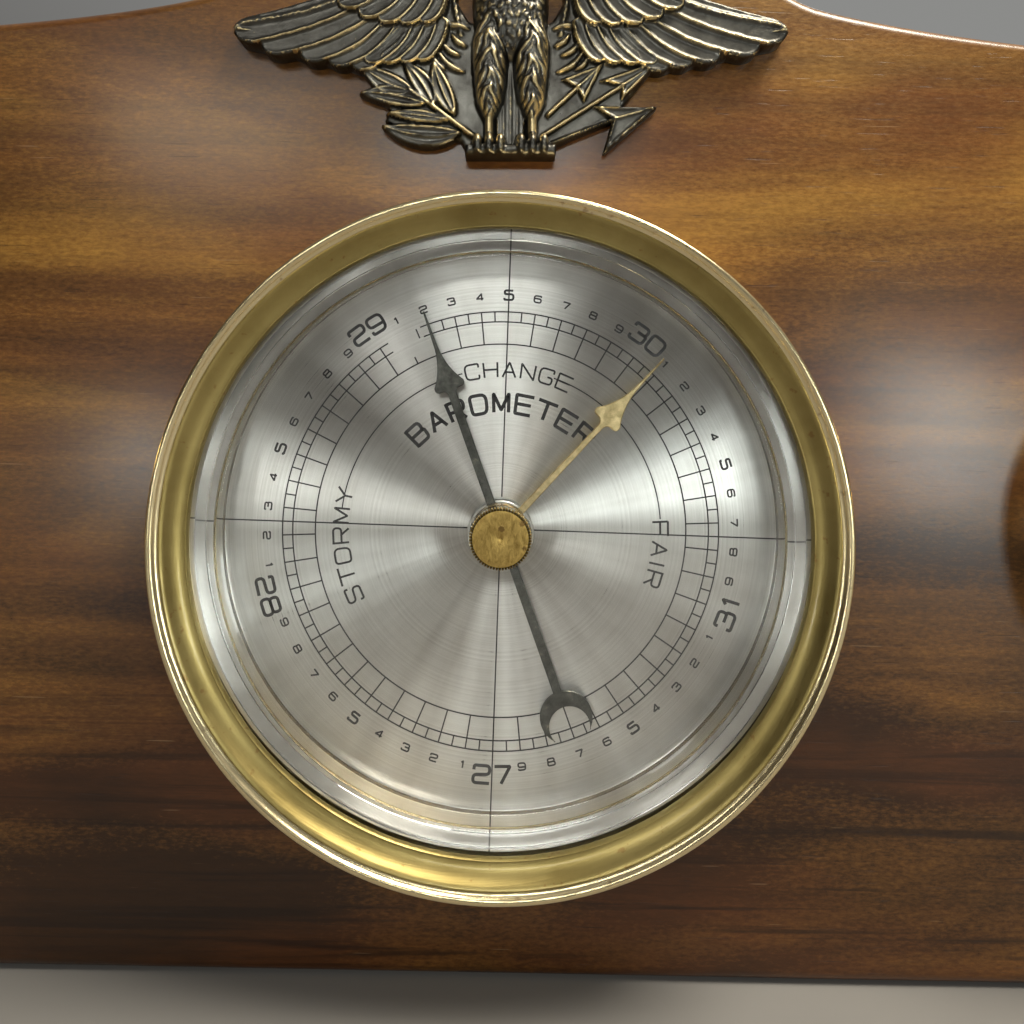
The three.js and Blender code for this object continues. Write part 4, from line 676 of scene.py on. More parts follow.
def eagle_at(x, z):
    """The whole casting's heights at points x, z of its own frame"""
    cast = Casting(x, z)
    web = [(-8.4, 2), (-9.6, 4.4), (-14, 4.4), (-20.6, 6.2), (-24.2, 8.2), (-23.4, 10.6), (-25.6, 12.6),
           (-24.4, 15.6), (-27, 19), (-28, 22), (28, 22), (28, 19), (21.4, 10.8), (20.8, 9.6), (8.4, 3)]
    cast.lay(inside_polygon(x, z, web), WEB_PLATE - 0.3 + 0 * x)
    tail = inside_polygon(x, z, [(-2.4, 3), (2.4, 3), (3.6, 20), (-3.6, 20)])
    cast.lay(tail, WEB_PLATE + 0.5 + 0.25 * np.cos(2.4 * x) ** 8)
    for side in (-1, 1):
        cast.wing(side)
    for leaf in LEAVES:
        cast.leaf(*leaf)
    cast.cord((-6.4, 4.4), (-15.2, 11.0), 0.5, WEB_PLATE + 0.6)
    cast.cord((-15.2, 11.0), (-19.5, 14.0), 0.4, WEB_PLATE + 0.5)
    for arrow in ARROWS:
        cast.arrow(*arrow)
    breast = cast.dome(0, 30.5, 7.4, 11.2, WEB_PLATE - 0.4, 5.2)
    neck = cast.dome(-0.4, 40.5, 4.3, 6.6, WEB_PLATE, 4.6)
    cast.scales(np.maximum(breast, neck), 1.75, 1.5, 0.5)
    for side in (-1, 1):
        cast.thigh(side)
    cast.head()
    for side in (-1, 1):
        cast.foot(side)
    block = np.minimum(8.6 - np.abs(x), np.minimum(z - 0.8, 2.8 - z))
    cast.lay(block, BASE_DEPTH - 0.5 + 0.05 * np.sin(3.1 * x))
    return cast


def on_casting(x, z):
    """A point of the casting's own frame as a place on the board, where it sits slightly turned"""
    c, s = math.cos(EAGLE_TURN), math.sin(EAGLE_TURN)
    return c * x - s * z + EAGLE_X, s * x + c * z + EAGLE_FOOT


def softened(field, reach, within):
    """The field averaged over the casting's own points in a square of the given reach"""
    weight = within.astype(float)
    field = field * weight
    for axis in (0, 1):
        field = sum(np.roll(field, k, axis) for k in range(-reach, reach + 1))
        weight = sum(np.roll(weight, k, axis) for k in range(-reach, reach + 1))
    return field / np.maximum(weight, 1)


def eagle_skin():
    """The casting's skin, and how far each point stands out from what is round it"""
    across = np.arange(-53.6, 53.6, CASTING_PITCH)
    up = np.arange(-0.6, 50.2, CASTING_PITCH)
    x, z = np.meshgrid(across, up)
    cast = eagle_at(x, z)
    cell = np.ones((len(up) - 1, len(across) - 1), bool)
    for i in (0, 1):
        for j in (0, 1):
            cell &= cast.edge[i:len(up) - 1 + i, j:len(across) - 1 + j] > 0
    for _ in range(3):
        pair = cell[:-1, :-1] & cell[1:, 1:] & ~cell[:-1, 1:] & ~cell[1:, :-1]
        cell[:-1, :-1] &= ~pair
        pair = cell[:-1, 1:] & cell[1:, :-1] & ~cell[:-1, :-1] & ~cell[1:, 1:]
        cell[:-1, 1:] &= ~pair
    rows, columns = np.nonzero(cell)
    index = np.arange(x.size).reshape(x.shape)
    quads = np.column_stack([index[rows, columns], index[rows, columns + 1],
                             index[rows + 1, columns + 1], index[rows + 1, columns]])
    sides = np.vstack([quads[:, [k, (k + 1) % 4]] for k in range(4)])
    ordered = np.sort(sides, axis=1)
    _, first, counts = np.unique(ordered, axis=0, return_index=True, return_counts=True)
    border = sides[first[counts == 1]]
    rim = np.unique(border)
    flat_x, flat_z = x.ravel().copy(), z.ravel().copy()
    step = 0.05
    for _ in range(3):
        px, pz = flat_x[rim], flat_z[rim]
        here = eagle_at(px, pz).edge
        slope_x = (eagle_at(px + step, pz).edge - eagle_at(px - step, pz).edge) / (2 * step)
        slope_z = (eagle_at(px, pz + step).edge - eagle_at(px, pz - step).edge) / (2 * step)
        move = np.clip(here / np.maximum(slope_x ** 2 + slope_z ** 2, 0.3), -0.1, 0.1)
        flat_x[rim] -= move * slope_x
        flat_z[rim] -= move * slope_z
    within = cast.edge > 0
    proud = cast.top - 0.75 * softened(cast.top, 2, within) - 0.25 * softened(cast.top, 6, within)
    proud = np.where(z < 5.2, 0.45 * proud - 0.05, proud)
    proud = np.where(cast.edge > 0.35, proud, -0.2).ravel()
    fall = 0.6 * np.clip(1 - cast.edge / 0.7, 0, 1) ** 2
    top = cast.top - fall
    top = 0.45 * top + 0.55 * softened(top, 1, within)
    height = np.maximum(top.ravel(), 0.9)
    height[rim] = np.maximum(height[rim] - 0.35, 0.9)

    used = np.unique(quads)
    skin = Skin()
    place = {i: skin.add(*on_casting(flat_x[i], flat_z[i]), height[i]) for i in used}
    foot = {i: skin.add(*on_casting(flat_x[i], flat_z[i]), SEAT) for i in rim}
    stand_out = [proud[i] for i in used] + [-0.4] * len(rim)
    skin.faces += [tuple(place[i] for i in quad) for quad in quads]
    skin.faces += [(place[a], place[b], foot[b], foot[a]) for a, b in border]
    skin.fill([(foot[a], foot[b]) for a, b in border])
    return skin, stand_out


casting, stand_out = eagle_skin()
pegs = Skin()
peg = [(0, -PEG_LENGTH), (PEG_RADIUS - 0.3, -PEG_LENGTH), (PEG_RADIUS, -PEG_LENGTH + 0.3), (PEG_RADIUS, 0.6),
       (0, 0.6)]
for side in (-1, 1):
    pegs.turn(peg, 32, *on_casting(side * PEG_X, PEG_Z))

rubbed_bronze, tree, shader = new_finish("rubbed_bronze", Metallic=1.0)
worn = node_of(tree, "Attribute", {}, attribute_name="stand_out").outputs["Fac"]
patchy = grain(tree, 520, detail=5, roughness=0.65)
broken = grain(tree, 1300, roughness=0.7)
rub = line_of(tree, sum_of(tree, patchy, broken), 0.5, worn)
rub = ramp(tree, rub, [(0.59, 0.0), (0.83, 1.0)])
dark = ramp(tree, grain(tree, 160, detail=5, roughness=0.65), [
    (0.3, (0.05, 0.046, 0.04, 1)), (0.7, (0.14, 0.134, 0.118, 1))])
colour = blend_of(tree, rub, dark, (0.6, 0.48, 0.26, 1))
feed(tree, shader, {"Base Color": colour, "Roughness": line_of(tree, patchy, 0.35, 0.17)})
raise_by(tree, shader, grain(tree, 900, detail=5, roughness=0.65), 0.00006)

eagle = casting.make("eagle_casting", "plaque", rubbed_bronze, ["eagle_ornament"], sharp=70)
wear = eagle.data.attributes.new("stand_out", "FLOAT", "POINT")
wear.data.foreach_set("value", np.array(stand_out, np.float32))
pegs.make("eagle_pegs", "plaque", rubbed_bronze, slot="eagle_ornament")

# Barometer case and aneroid movement: a black moulded case let into the middle bore and screwed to
# the wood, with a corrugated capsule, its spring, rocking shaft, chain and arbor on a steel base.
MOVEMENT_SCREW_Z, ADJUSTER_X = 24, -24

moulded_black, tree, shader = new_finish("moulded_black", Base_Color=(0.018, 0.018, 0.019, 1))
fine_skin = grain(tree, 1500, detail=3)
feed(tree, shader, {"Roughness": line_of(tree, fine_skin, 0.25, 0.38)})
raise_by(tree, shader, fine_skin, 0.00003)

turned_brass = hazed_metal(
    "turned_brass", 300, [(0.3, (0.45, 0.32, 0.13, 1)), (0.7, (0.62, 0.46, 0.2, 1))], (0.3, 0.2),
    relief=(500, 4000, 500))
blued_spring = hazed_metal(
    "blued_spring", 500, [(0.35, (0.06, 0.08, 0.14, 1)), (0.7, (0.14, 0.17, 0.23, 1))], 0.3, detail=3)
two_metal_strip = hazed_metal(
    "two_metal_strip", (400, 90, 400), [(0.4, (0.34, 0.23, 0.14, 1)), (0.65, (0.52, 0.44, 0.36, 1))], 0.34,
    detail=3)

dress(moulded_black, "barometer_case")
dress(plated_steel, "movement_base", "link_wire", "rocking_shaft", "drum_chain", "top_bridge", "hand_arbor",
      "set_washer", "barometer_case_screw_1", "barometer_case_screw_2", "barometer_case_screw_3")
dress(turned_brass, "aneroid_capsule", "spring_post", "arbor_cock",
      "bridge_pillar_1", "bridge_pillar_2", "bridge_pillar_3", "bridge_pillar_4")
dress(blued_spring, "main_spring", "hairspring")

for number, side, turned_by in ((1, -1, 0.9), (2, 1, 2.3)):
    head = {"radius": 2.7, "face": -18.1, "foot": -16.5, "slot": 0.35, "turned_by": turned_by}
    screw = headed_screw(head, 0, side * MOVEMENT_SCREW_Z, [(1.3, -16.5), (1.3, -11.9)], -11.9)
    screw.make(f"slotted_movement_screw_{number}", "plaque", plated_steel, [f"movement_screw_{number}"])

head = {"radius": 2.5, "face": -16.3, "foot": -15.0, "slot": 0.4, "turned_by": 0.3}
adjuster = headed_screw(head, ADJUSTER_X, 0, [(1.4, -15.0), (1.4, -9.5)], -9.5)
adjuster.make("slotted_adjusting_screw", "adjusting_screw", turned_brass, ["adjusting_screw"])

# Barometer dial: half a millimetre of aluminium, spun with an abrasive so that it has fine rings
# and shines in rays from its middle, then clear lacquered. It lies on the case's flange.
DIAL_BACK, DIAL_FRONT = 2.0, 2.5
DIAL_TURN = 0.95
DIAL_EDGE = 0.06


def spun_dial(across, radius, hole, name, node):
    """A flat disc with a hole in its middle and its front edges broken"""
    dial = Skin(across)
    edge = DIAL_FRONT - DIAL_EDGE
    dial.turn([(hole, DIAL_BACK), (radius, DIAL_BACK), (radius, edge), (radius - DIAL_EDGE, DIAL_FRONT),
               (hole + DIAL_EDGE, DIAL_FRONT), (hole, edge)])
    dial.make(name, "plaque", spun_aluminium(across), [node])


def vector_of(tree, first, second, way):
    """Two vectors added, multiplied or put together in another way"""
    return node_of(tree, "VectorMath", {0: first, 1: second}, operation=way)


def from_axis(tree, across):
    """A point's distance in mm from a dial's axis, and its direction round it"""
    place = node_of(tree, "TexCoord", {}).outputs["Object"]
    shifted = vector_of(tree, place, (-across * MM, 0, -AXIS_Z * MM), "ADD").outputs[0]
    flat = vector_of(tree, shifted, (1000, 0, 1000), "MULTIPLY").outputs[0]
    distance = node_of(tree, "VectorMath", {0: flat}, operation="LENGTH").outputs["Value"]
    return distance, node_of(tree, "VectorMath", {0: flat}, operation="NORMALIZE").outputs[0]


def rings_of(tree, distance, each_mm):
    """The distance from the axis as a vector for noise, with its steps in a millimetre"""
    return node_of(tree, "CombineXYZ", {"X": product_of(tree, distance, each_mm)}).outputs[0]


def spun_aluminium(across):
    """Spun metal: fine rings round the axis, with faint rays where the abrasive dwelt"""
    finish, tree, shader = new_finish(
        "spun_aluminium", Metallic=1.0, Anisotropic=0.96, Anisotropic_Rotation=0.25)
    distance, direction = from_axis(tree, across)
    rays = vector_of(tree, direction, (7, 7, 7), "MULTIPLY").outputs[0]
    ray_tone = mottle(tree, rays, detail=3, roughness=0.5)
    ring_tone = mottle(tree, rings_of(tree, distance, 2.4), roughness=0.75)
    patches = grain(tree, 45, roughness=0.6)
    tone = line_of(tree, ray_tone, 0.5, sum_of(tree, patches, ring_tone))
    colour = ramp(tree, product_of(tree, tone, 0.4), [
        (0.4, (0.5, 0.48, 0.45, 1)), (0.6, (0.78, 0.77, 0.74, 1))])
    dull = line_of(tree, sum_of(tree, ray_tone, ring_tone), 0.1, 0.2)
    round_axis = node_of(tree, "Tangent", {}, direction_type="RADIAL", axis="Y").outputs[0]
    feed(tree, shader, {"Base Color": colour, "Roughness": dull, "Tangent": round_axis})
    raise_by(tree, shader, ring_tone, 0.000003)
    return finish


spun_dial(0, 58.5, 5.85, "spun_barometer_dial", "barometer_dial")

# Dial print: black ink, screen printed. An inch of mercury takes 72 degrees, with 29.5 at the top,
# ruled in tenths and half tenths between three circles and numbered outside them.
INK = 0.03
RULE = 0.26
DEGREES_PER_INCH = 72.0
TOP_INCHES = 29.5
SCALE_CIRCLES = (34.5, 38.7, 40.6)
TENTHS_RADIUS, INCHES_RADIUS = 42.9, 43.3
WEATHER_RADIUS, TITLE_RADIUS = 29.8, 21.7
CROSS_REACH = (5.95, 57.9)
# Height, width and stroke of the figures and words
INCH_FIGURES, TENTH_FIGURES, FIVE_FIGURES = (3.15, 2.95, 0.58), (1.25, 1.3, 0.3), (1.75, 1.7, 0.42)
OUTER_WEATHER, TOP_WEATHER, TITLE = (2.9, 2.7, 0.38), (2.8, 2.55, 0.36), (3.5, 2.95, 0.64)
WEATHER_WORDS = (("STORMY", -98, OUTER_WEATHER), ("CHANGE", 4.5, TOP_WEATHER), ("FAIR", 97, OUTER_WEATHER))
# The print has worn off round 29.1: the angles between which its circles are gone, and its ticks
WORN_START, WORN_END = -33.5, -24
WORN_TICK, SHORT_TICK = 91, 92

# Strokes of the printed letters and figures, in a square one unit wide and tall
STROKES = {
    "0": [[(0, 0.5), (0, 1), (1, 1), (1, 0), (0, 0), (0, 0.5)]],
    "1": [[(0.2, 0.78), (0.55, 1), (0.55, 0)]],
    "2": [[(0, 0.74), (0, 1), (1, 1), (1, 0.52), (0, 0.46), (0, 0), (1, 0)]],
    "3": [[(0, 0.78), (0, 1), (0.95, 1), (0.95, 0.53), (0.35, 0.53)],
          [(0.8, 0.53), (1, 0.53), (1, 0), (0, 0), (0, 0.24)]],
    "4": [[(0.74, 0), (0.74, 1), (0, 0.26), (1, 0.26)]],
    "5": [[(0.95, 1), (0.04, 1), (0.04, 0.6), (1, 0.6), (1, 0), (0, 0), (0, 0.2)]],
    "6": [[(0.96, 0.8), (0.96, 1), (0, 1), (0, 0), (1, 0), (1, 0.58), (0, 0.58)]],
    "7": [[(0, 0.98), (1, 0.98), (0.42, 0)]],
    "8": [[(0.5, 0.53), (0.04, 0.53), (0.04, 1), (0.96, 1), (0.96, 0.53), (0.5, 0.53)],
          [(0.5, 0.53), (0, 0.53), (0, 0), (1, 0), (1, 0.53), (0.5, 0.53)]],
    "9": [[(0.04, 0.2), (0.04, 0), (1, 0), (1, 1), (0, 1), (0, 0.42), (1, 0.42)]],
    "A": [[(0, 0), (0.5, 1), (1, 0)], [(0.18, 0.34), (0.82, 0.34)]],
    "B": [[(0, -0.07), (0, 1.07)], [(0, 1), (0.92, 1), (0.92, 0.53), (0, 0.53)],
          [(0.8, 0.53), (1, 0.53), (1, 0), (0, 0)]],
    "C": [[(1, 0.74), (1, 1), (0, 1), (0, 0), (1, 0), (1, 0.26)]],
    "E": [[(1.05, 1), (0, 1), (0, 0), (1.05, 0)], [(0, 0.52), (0.96, 0.52)]],
    "F": [[(0.95, 1), (0, 1), (0, 0)], [(0, 0.5), (0.84, 0.5)]],
    "G": [[(1, 0.76), (1, 1), (0, 1), (0, 0), (1, 0), (1, 0.46), (0.6, 0.46)]],
    "H": [[(0, 0), (0, 1)], [(1, 0), (1, 1)], [(0, 0.52), (1, 0.52)]],
    "I": [[(0.5, 0), (0.5, 1)]],
    "M": [[(0, 0), (0.04, 1), (0.5, 0.12), (0.96, 1), (1, 0)]],
    "N": [[(0, 0), (0, 1), (1, 0), (1, 1)]],
    "O": [[(0, 0.5), (0, 1), (1, 1), (1, 0), (0, 0), (0, 0.5)]],
    "R": [[(0, 0), (0, 1.07)], [(0, 1), (1, 1), (1, 0.48), (0, 0.48)], [(0.55, 0.48), (1, 0)]],
    "S": [[(0.97, 0.78), (0.97, 1), (0.03, 1), (0.03, 0.54), (0.97, 0.46), (0.97, 0), (0, 0), (0, 0.22)]],
    "T": [[(-0.1, 1), (1.1, 1)], [(0.5, 1), (0.5, 0)]],
    "Y": [[(0, 1), (0.5, 0.46), (1, 1)], [(0.5, 0.46), (0.5, 0)]],
    "%": [[(0.05, 0), (0.95, 1)], [(0, 0.8), (0, 1), (0.3, 1), (0.3, 0.62), (0, 0.62), (0, 0.8)],
          [(0.7, 0.2), (0.7, 0.38), (1, 0.38), (1, 0), (0.7, 0), (0.7, 0.2)]],
    "°": [[(0.6, 0.8), (0.6, 1), (1, 1), (1, 0.62), (0.6, 0.62), (0.6, 0.8)]],
}
NARROW = {"I": 0.3, "1": 0.75, "°": 0.9}
ROUND = "0235689BCGORS%°"
ROUND_BEND, SHARP_BEND = 0.34, 0.05


def eased(points, bend, steps=4):
    """A line of points with its corners rounded"""
    line = [points[0]]
    closed = points[0] == points[-1]
    for i in range(1, len(points) - 1):
        p, q, r = (np.array(points[k], float) for k in (i - 1, i, i + 1))
        into, out = q - p, r - q
        cut = min(bend, 0.45 * np.linalg.norm(into), 0.45 * np.linalg.norm(out))
        a = q - into / np.linalg.norm(into) * cut
        b = q + out / np.linalg.norm(out) * cut
        line += [tuple(a)] + [tuple(point) for point in curve(a, q, b, steps=steps)]
    return line + [points[0] if closed else points[-1]]


def ink_line(skin, line, width, flat=DIAL_FRONT):
    """A closed ribbon of ink along a line of x, z points"""
    line = np.array(line, float)
    along = np.gradient(line, axis=0)
    along /= np.maximum(np.linalg.norm(along, axis=1), 1e-9)[:, None]
    off = np.column_stack([-along[:, 1], along[:, 0]]) * width / 2
    closed = len(line) > 3 and np.allclose(line[0], line[-1])
    if closed:
        along_end = line[1] - line[-2]
        along_end /= np.linalg.norm(along_end)
        off[0] = off[-1] = np.array([-along_end[1], along_end[0]]) * width / 2
        line, off = line[:-1], off[:-1]
    rings = [[skin.add(*p, flat), skin.add(*q, flat), skin.add(*q, flat + INK), skin.add(*p, flat + INK)]
             for p, q in zip(line - off, line + off)]
    for a, b in zip(rings, rings[1:] + (rings[:1] if closed else [])):
        skin.faces += [(a[k], a[(k + 1) % 4], b[(k + 1) % 4], b[k]) for k in range(4)]
    if not closed:
        skin.faces += [tuple(rings[0]), tuple(rings[-1])]


def round_dial(radius, degrees):
    """The point at an angle clockwise from the top of a dial that is fitted slightly turned"""
    turn = math.radians(degrees + DIAL_TURN)
    return radius * math.sin(turn), radius * math.cos(turn)


def dial_arc(skin, radius, start, end, width=RULE):
    """An arc of ink round the dial's middle between two angles"""
    count = max(2, int(abs(end - start) * radius / 40))
    ink_line(skin, [round_dial(radius, a) for a in np.linspace(start, end, count)], width)


def dial_ray(skin, start, end, degrees, width=RULE):
    """A straight rule of ink from one radius to another"""
    ink_line(skin, [round_dial(start, degrees), round_dial(end, degrees)], width)


def dial_words(skin, words, radius, degrees, letter_size, gap, upright=False):
    """Letters on an arc, their feet at the radius, turned over in the lower half if not upright"""
    height, wide, width = letter_size
    flipped = abs(degrees) > 90 and not upright
    sizes = [NARROW.get(letter, 1.0) * wide for letter in words]
    space = gap * wide
    total = sum(sizes) + space * (len(words) - 1)
    at = -total / 2
    for letter, size in zip(words, sizes):
        for stroke in STROKES[letter]:
            line = []
            for u, v in eased(stroke, ROUND_BEND if letter in ROUND else SHARP_BEND):
                along, up = at + u * size, v * height
                r = radius + height - up if flipped else radius + up
                reach = radius + height / 2
                angle = degrees + math.degrees((-along if flipped else along) / reach)
                line.append(round_dial(r, angle))
            ink_line(skin, line, width)
        at += size + space


printing_ink, tree, shader = new_finish("printing_ink", Roughness=0.5, Specular_IOR_Level=0.25)
wear = grain(tree, 900, detail=3)
colour = ramp(tree, wear, [(0.3, (0.014, 0.013, 0.014, 1)), (0.75, (0.035, 0.033, 0.033, 1))])
feed(tree, shader, {"Base Color": colour})
raise_by(tree, shader, wear, 0.000004)

barometer_print = Skin()
dial_arc(barometer_print, SCALE_CIRCLES[0], 0, 360)
for radius in SCALE_CIRCLES[1:]:
    dial_arc(barometer_print, radius, WORN_END, WORN_START + 360)
for tick in range(100):
    if tick != WORN_TICK:
        start = SCALE_CIRCLES[0] if tick % 2 == 0 else SCALE_CIRCLES[1]
        end = SCALE_CIRCLES[0] + 1.4 if tick == SHORT_TICK else SCALE_CIRCLES[2]
        dial_ray(barometer_print, start, end, tick * DEGREES_PER_INCH / 20)
for inches in range(27, 32):
    angle = (inches - TOP_INCHES) * DEGREES_PER_INCH
    dial_words(barometer_print, str(inches), INCHES_RADIUS, angle, INCH_FIGURES, 0.3)
    for tenth in range(1, 10):
        angle = (inches + tenth / 10 - TOP_INCHES) * DEGREES_PER_INCH
        size = FIVE_FIGURES if tenth == 5 else TENTH_FIGURES
        dial_words(barometer_print, str(tenth), TENTHS_RADIUS, angle, size, 0.42)
for angle in (0, 90, 180, 270):
    dial_ray(barometer_print, *CROSS_REACH, angle)
for start, end in ((-84.5, -16), (17.5, 84.5)):
    dial_arc(barometer_print, WEATHER_RADIUS, start, end, 0.24)
for word, angle, size in WEATHER_WORDS:
    dial_words(barometer_print, word, WEATHER_RADIUS - 1.5, angle, size, 0.38, upright=True)
dial_words(barometer_print, "BAROMETER", TITLE_RADIUS, -1.8, TITLE, 0.44)
barometer_print.make("printed_barometer_scale", "plaque", printing_ink, slot="barometer_dial")

# Arbor bush: a turned aluminium ring in the middle of the dial, which guides the hand's arbor.
bush = Skin()
bush.turn([(1.05, -1.0), (5.3, -1.0), (5.3, 2.7), (5.1, 2.9), (4.3, 2.9), (4.2, 2.78), (1.25, 2.78),
           (1.05, 2.6)], 96)
turned_aluminium, tree, shader = new_finish("turned_aluminium", Metallic=1.0, Roughness=0.4)
distance, _ = from_axis(tree, 0)
tone = mottle(tree, rings_of(tree, distance, 6.0))
colour = ramp(tree, tone, [(0.35, (0.66, 0.66, 0.64, 1)), (0.65, (0.86, 0.86, 0.84, 1))])
feed(tree, shader, {"Base Color": colour})
raise_by(tree, shader, tone, 0.00001)
bush.make("turned_arbor_bush", "plaque", turned_aluminium, ["arbor_bush"])

# Barometer hands: stamped from half-millimetre brass. The pressure hand is blacked and has a
# crescent for its tail. The set hand is left bright and is riveted to the knob's shaft.
HAND_SHEET = 0.5
HEAD_RADIUS, HEAD_HALF = 28.4, 2.95
SHAFT_HALF, HUB_RADIUS = 0.8, 2.4
PRESSURE_TIP, SET_TIP = 42.9, 43.4
SET_SHAFT_HALF, SET_HUB_RADIUS = 0.52, 3.2
PRESSURE_READING, SET_READING = 29.2, 30.075
CRESCENT_Z, CRESCENT_OUTER, CRESCENT_INNER, CRESCENT_SHIFT = -35.7, 4.8, 3.75, 1.85


def arc_points(z, radius, start, end, steps):
    """Points round a centre on the hand's middle line, angles from its tip"""
    turns = np.radians(np.linspace(start, end, steps))
    return [(radius * math.sin(a), z + radius * math.cos(a)) for a in turns]


def arrow_side(tip, shaft):
    """Right side of a hand from its tip down to the shaft, with a hollow flare and a rounded barb"""
    needle = (0.36, HEAD_RADIUS + 7.2)
    shoulder = (HEAD_HALF - 0.1, HEAD_RADIUS + 0.2)
    hollow = (1.7, HEAD_RADIUS - 0.9)
    flare = curve(needle, (0.7, HEAD_RADIUS + 3), shoulder, steps=8)
    barb = curve(shoulder, (HEAD_HALF + 0.1, HEAD_RADIUS - 1.1), hollow, steps=4)
    neck = curve(hollow, (0.9, HEAD_RADIUS - 0.8), (shaft, HEAD_RADIUS - 1.9), steps=4)
    return [(0.16, tip), needle] + [tuple(p) for p in np.vstack([flare, barb, neck])]


def stamp_hand(side, degrees, back, hole, across=0.0, bevel=0.08):
    """A stamped hand from its right side's points, turned clockwise from the top of its dial"""
    outline = np.array(side + [(-x, z) for x, z in reversed(side) if abs(x) > 1e-6])[::-1]
    turn = math.radians(degrees)
    c, s = math.cos(turn), math.sin(turn)
    bore = circle(hole, 32)

    def placed(flat):
        return [(c * x + s * z, c * z - s * x) for x, z in flat]
    hand = Skin(across)
    rims = [hand.loop(placed(outline), back), hand.loop(placed(outline), back + HAND_SHEET - bevel),
            hand.loop(placed(inset(outline, bevel)), back + HAND_SHEET)]
    holes = [hand.loop(placed(bore), back), hand.loop(placed(bore), back + HAND_SHEET)]
    hand.wall(*rims)
    hand.wall(*holes)
    hand.cap(rims[0], holes[0])
    hand.cap(rims[-1], holes[-1])
    return hand


def pressure_side():
    """Right side of the pressure hand: arrow, shaft, hub and the crescent's two arcs"""
    hub_turn = math.degrees(math.asin(SHAFT_HALF / HUB_RADIUS))
    neck_turn = math.degrees(math.asin(SHAFT_HALF / CRESCENT_OUTER))
    horn_drop = (CRESCENT_OUTER ** 2 - CRESCENT_INNER ** 2 + CRESCENT_SHIFT ** 2) / (2 * CRESCENT_SHIFT)
    outer_end = 180 - math.degrees(math.acos(horn_drop / CRESCENT_OUTER))
    inner_end = 180 - math.degrees(math.acos((horn_drop - CRESCENT_SHIFT) / CRESCENT_INNER))
    return (arrow_side(PRESSURE_TIP, SHAFT_HALF) + arc_points(0, HUB_RADIUS, hub_turn, 180 - hub_turn, 9)
            + arc_points(CRESCENT_Z, CRESCENT_OUTER, neck_turn, outer_end, 16)
            + arc_points(CRESCENT_Z - CRESCENT_SHIFT, CRESCENT_INNER, inner_end, 0, 14))


blacked_shades = [(0.35, (0.05, 0.05, 0.045, 1)), (0.62, (0.1, 0.1, 0.09, 1)), (0.75, (0.24, 0.22, 0.16, 1))]
blacked_brass = hazed_metal("blacked_brass", 700, blacked_shades, (0.3, 0.25), detail=5, roughness=0.65)
bright_brass = hazed_metal(
    "bright_brass", 800, [(0.3, (0.46, 0.36, 0.17, 1)), (0.6, (0.76, 0.61, 0.33, 1))], (0.3, 0.2),
    detail=5, roughness=0.65)

pressure_angle, set_angle = ((reading - TOP_INCHES) * DEGREES_PER_INCH + DIAL_TURN
                             for reading in (PRESSURE_READING, SET_READING))
pressure_hand = stamp_hand(pressure_side(), pressure_angle, 4.2, 1.05)
pressure_hand.make("stamped_pressure_hand", "pressure_hand", blacked_brass, ["pressure_hand"])
set_side = arrow_side(SET_TIP, SET_SHAFT_HALF) + arc_points(0, SET_HUB_RADIUS, 12, 180, 14)
set_hand = stamp_hand(set_side, set_angle, 6.5, 1.7, bevel=0.16)
set_hand.make("stamped_set_hand", "set_hand", bright_brass, ["set_hand"])

# Set knob: turned brass with a knurled rim, riveted through the lens to the set hand, so that it
# turns the hand from outside. Its face is brushed, spotted with tarnish and marked at the centre.
KNOB_TEETH = 62
KNOB_FOOT, KNOB_FACE = 11.8, 13.8
KNOB_RADIUS = 5.45
RIVET_FOOT = 6.0

knob = Skin()
sides = 6 * KNOB_TEETH


def knurled(radius, depth):
    """Points round the knob's rim, with grooves of the given depth"""
    turn = np.linspace(0, 2 * math.pi, sides, endpoint=False)
    wave = np.abs(np.sin(0.5 * turn * KNOB_TEETH)) ** 0.7
    r = radius - depth * (1 - wave)
    return np.column_stack([r * np.cos(turn), r * np.sin(turn)])


rivet = [knob.loop(circle(r, sides), h) for r, h in (
    (2.3, RIVET_FOOT), (2.3, RIVET_FOOT + 0.4), (1.4, RIVET_FOOT + 0.4), (1.4, KNOB_FOOT))]
rim = [knob.loop(knurled(r, d), h) for r, d, h in (
    (4.9, 0.0, KNOB_FOOT), (KNOB_RADIUS, 0.55, KNOB_FOOT + 0.3), (KNOB_RADIUS, 0.55, KNOB_FACE - 0.25),
    (5.32, 0.5, KNOB_FACE - 0.08))]
crown = [knob.loop(circle(r, sides), h) for r, h in (
    (4.8, KNOB_FACE - 0.04), (4.6, KNOB_FACE - 0.01), (3.0, KNOB_FACE), (0.45, KNOB_FACE),
    (0.3, KNOB_FACE - 0.06))]
rivet_foot, punch_mark = knob.add(0, 0, RIVET_FOOT), knob.add(0, 0, KNOB_FACE - 0.3)
knob.wall([rivet_foot] * sides, *rivet, *rim, *crown, [punch_mark] * sides)

knurled_brass, tree, shader = new_finish("knurled_brass", Metallic=1.0)
distance, _ = from_axis(tree, 0)
grains = grain(tree, (1500, 500, 750), (0, 0.5, 0), detail=5, roughness=0.7, distortion=0.8)
cells = {"Vector": own_place(tree), "Scale": 420}
spots = node_of(tree, "TexVoronoi", cells, feature="F1").outputs["Distance"]
spots = ramp(tree, line_of(tree, grains, 0.35, spots), [(0.4, 1.0), (0.47, 0.0)])
colour = ramp(tree, grains, [(0.3, (0.34, 0.22, 0.06, 1)), (0.65, (0.66, 0.46, 0.15, 1))])
# Painted shade: the knurled rim is darkened, most at the floors of its grooves and least on the tops of its
# teeth.
knurl_shade = line_of(tree, distance, 1.6, -7.6)
knurl_shade = ramp(tree, knurl_shade, [(0.1, 0.0), (0.25, 0.95), (0.7, 0.85), (1.0, 0.2)])
colour = blend_of(tree, knurl_shade, colour, (0.035, 0.022, 0.008, 1))
colour = blend_of(tree, product_of(tree, spots, 0.75), colour, (0.16, 0.09, 0.035, 1))
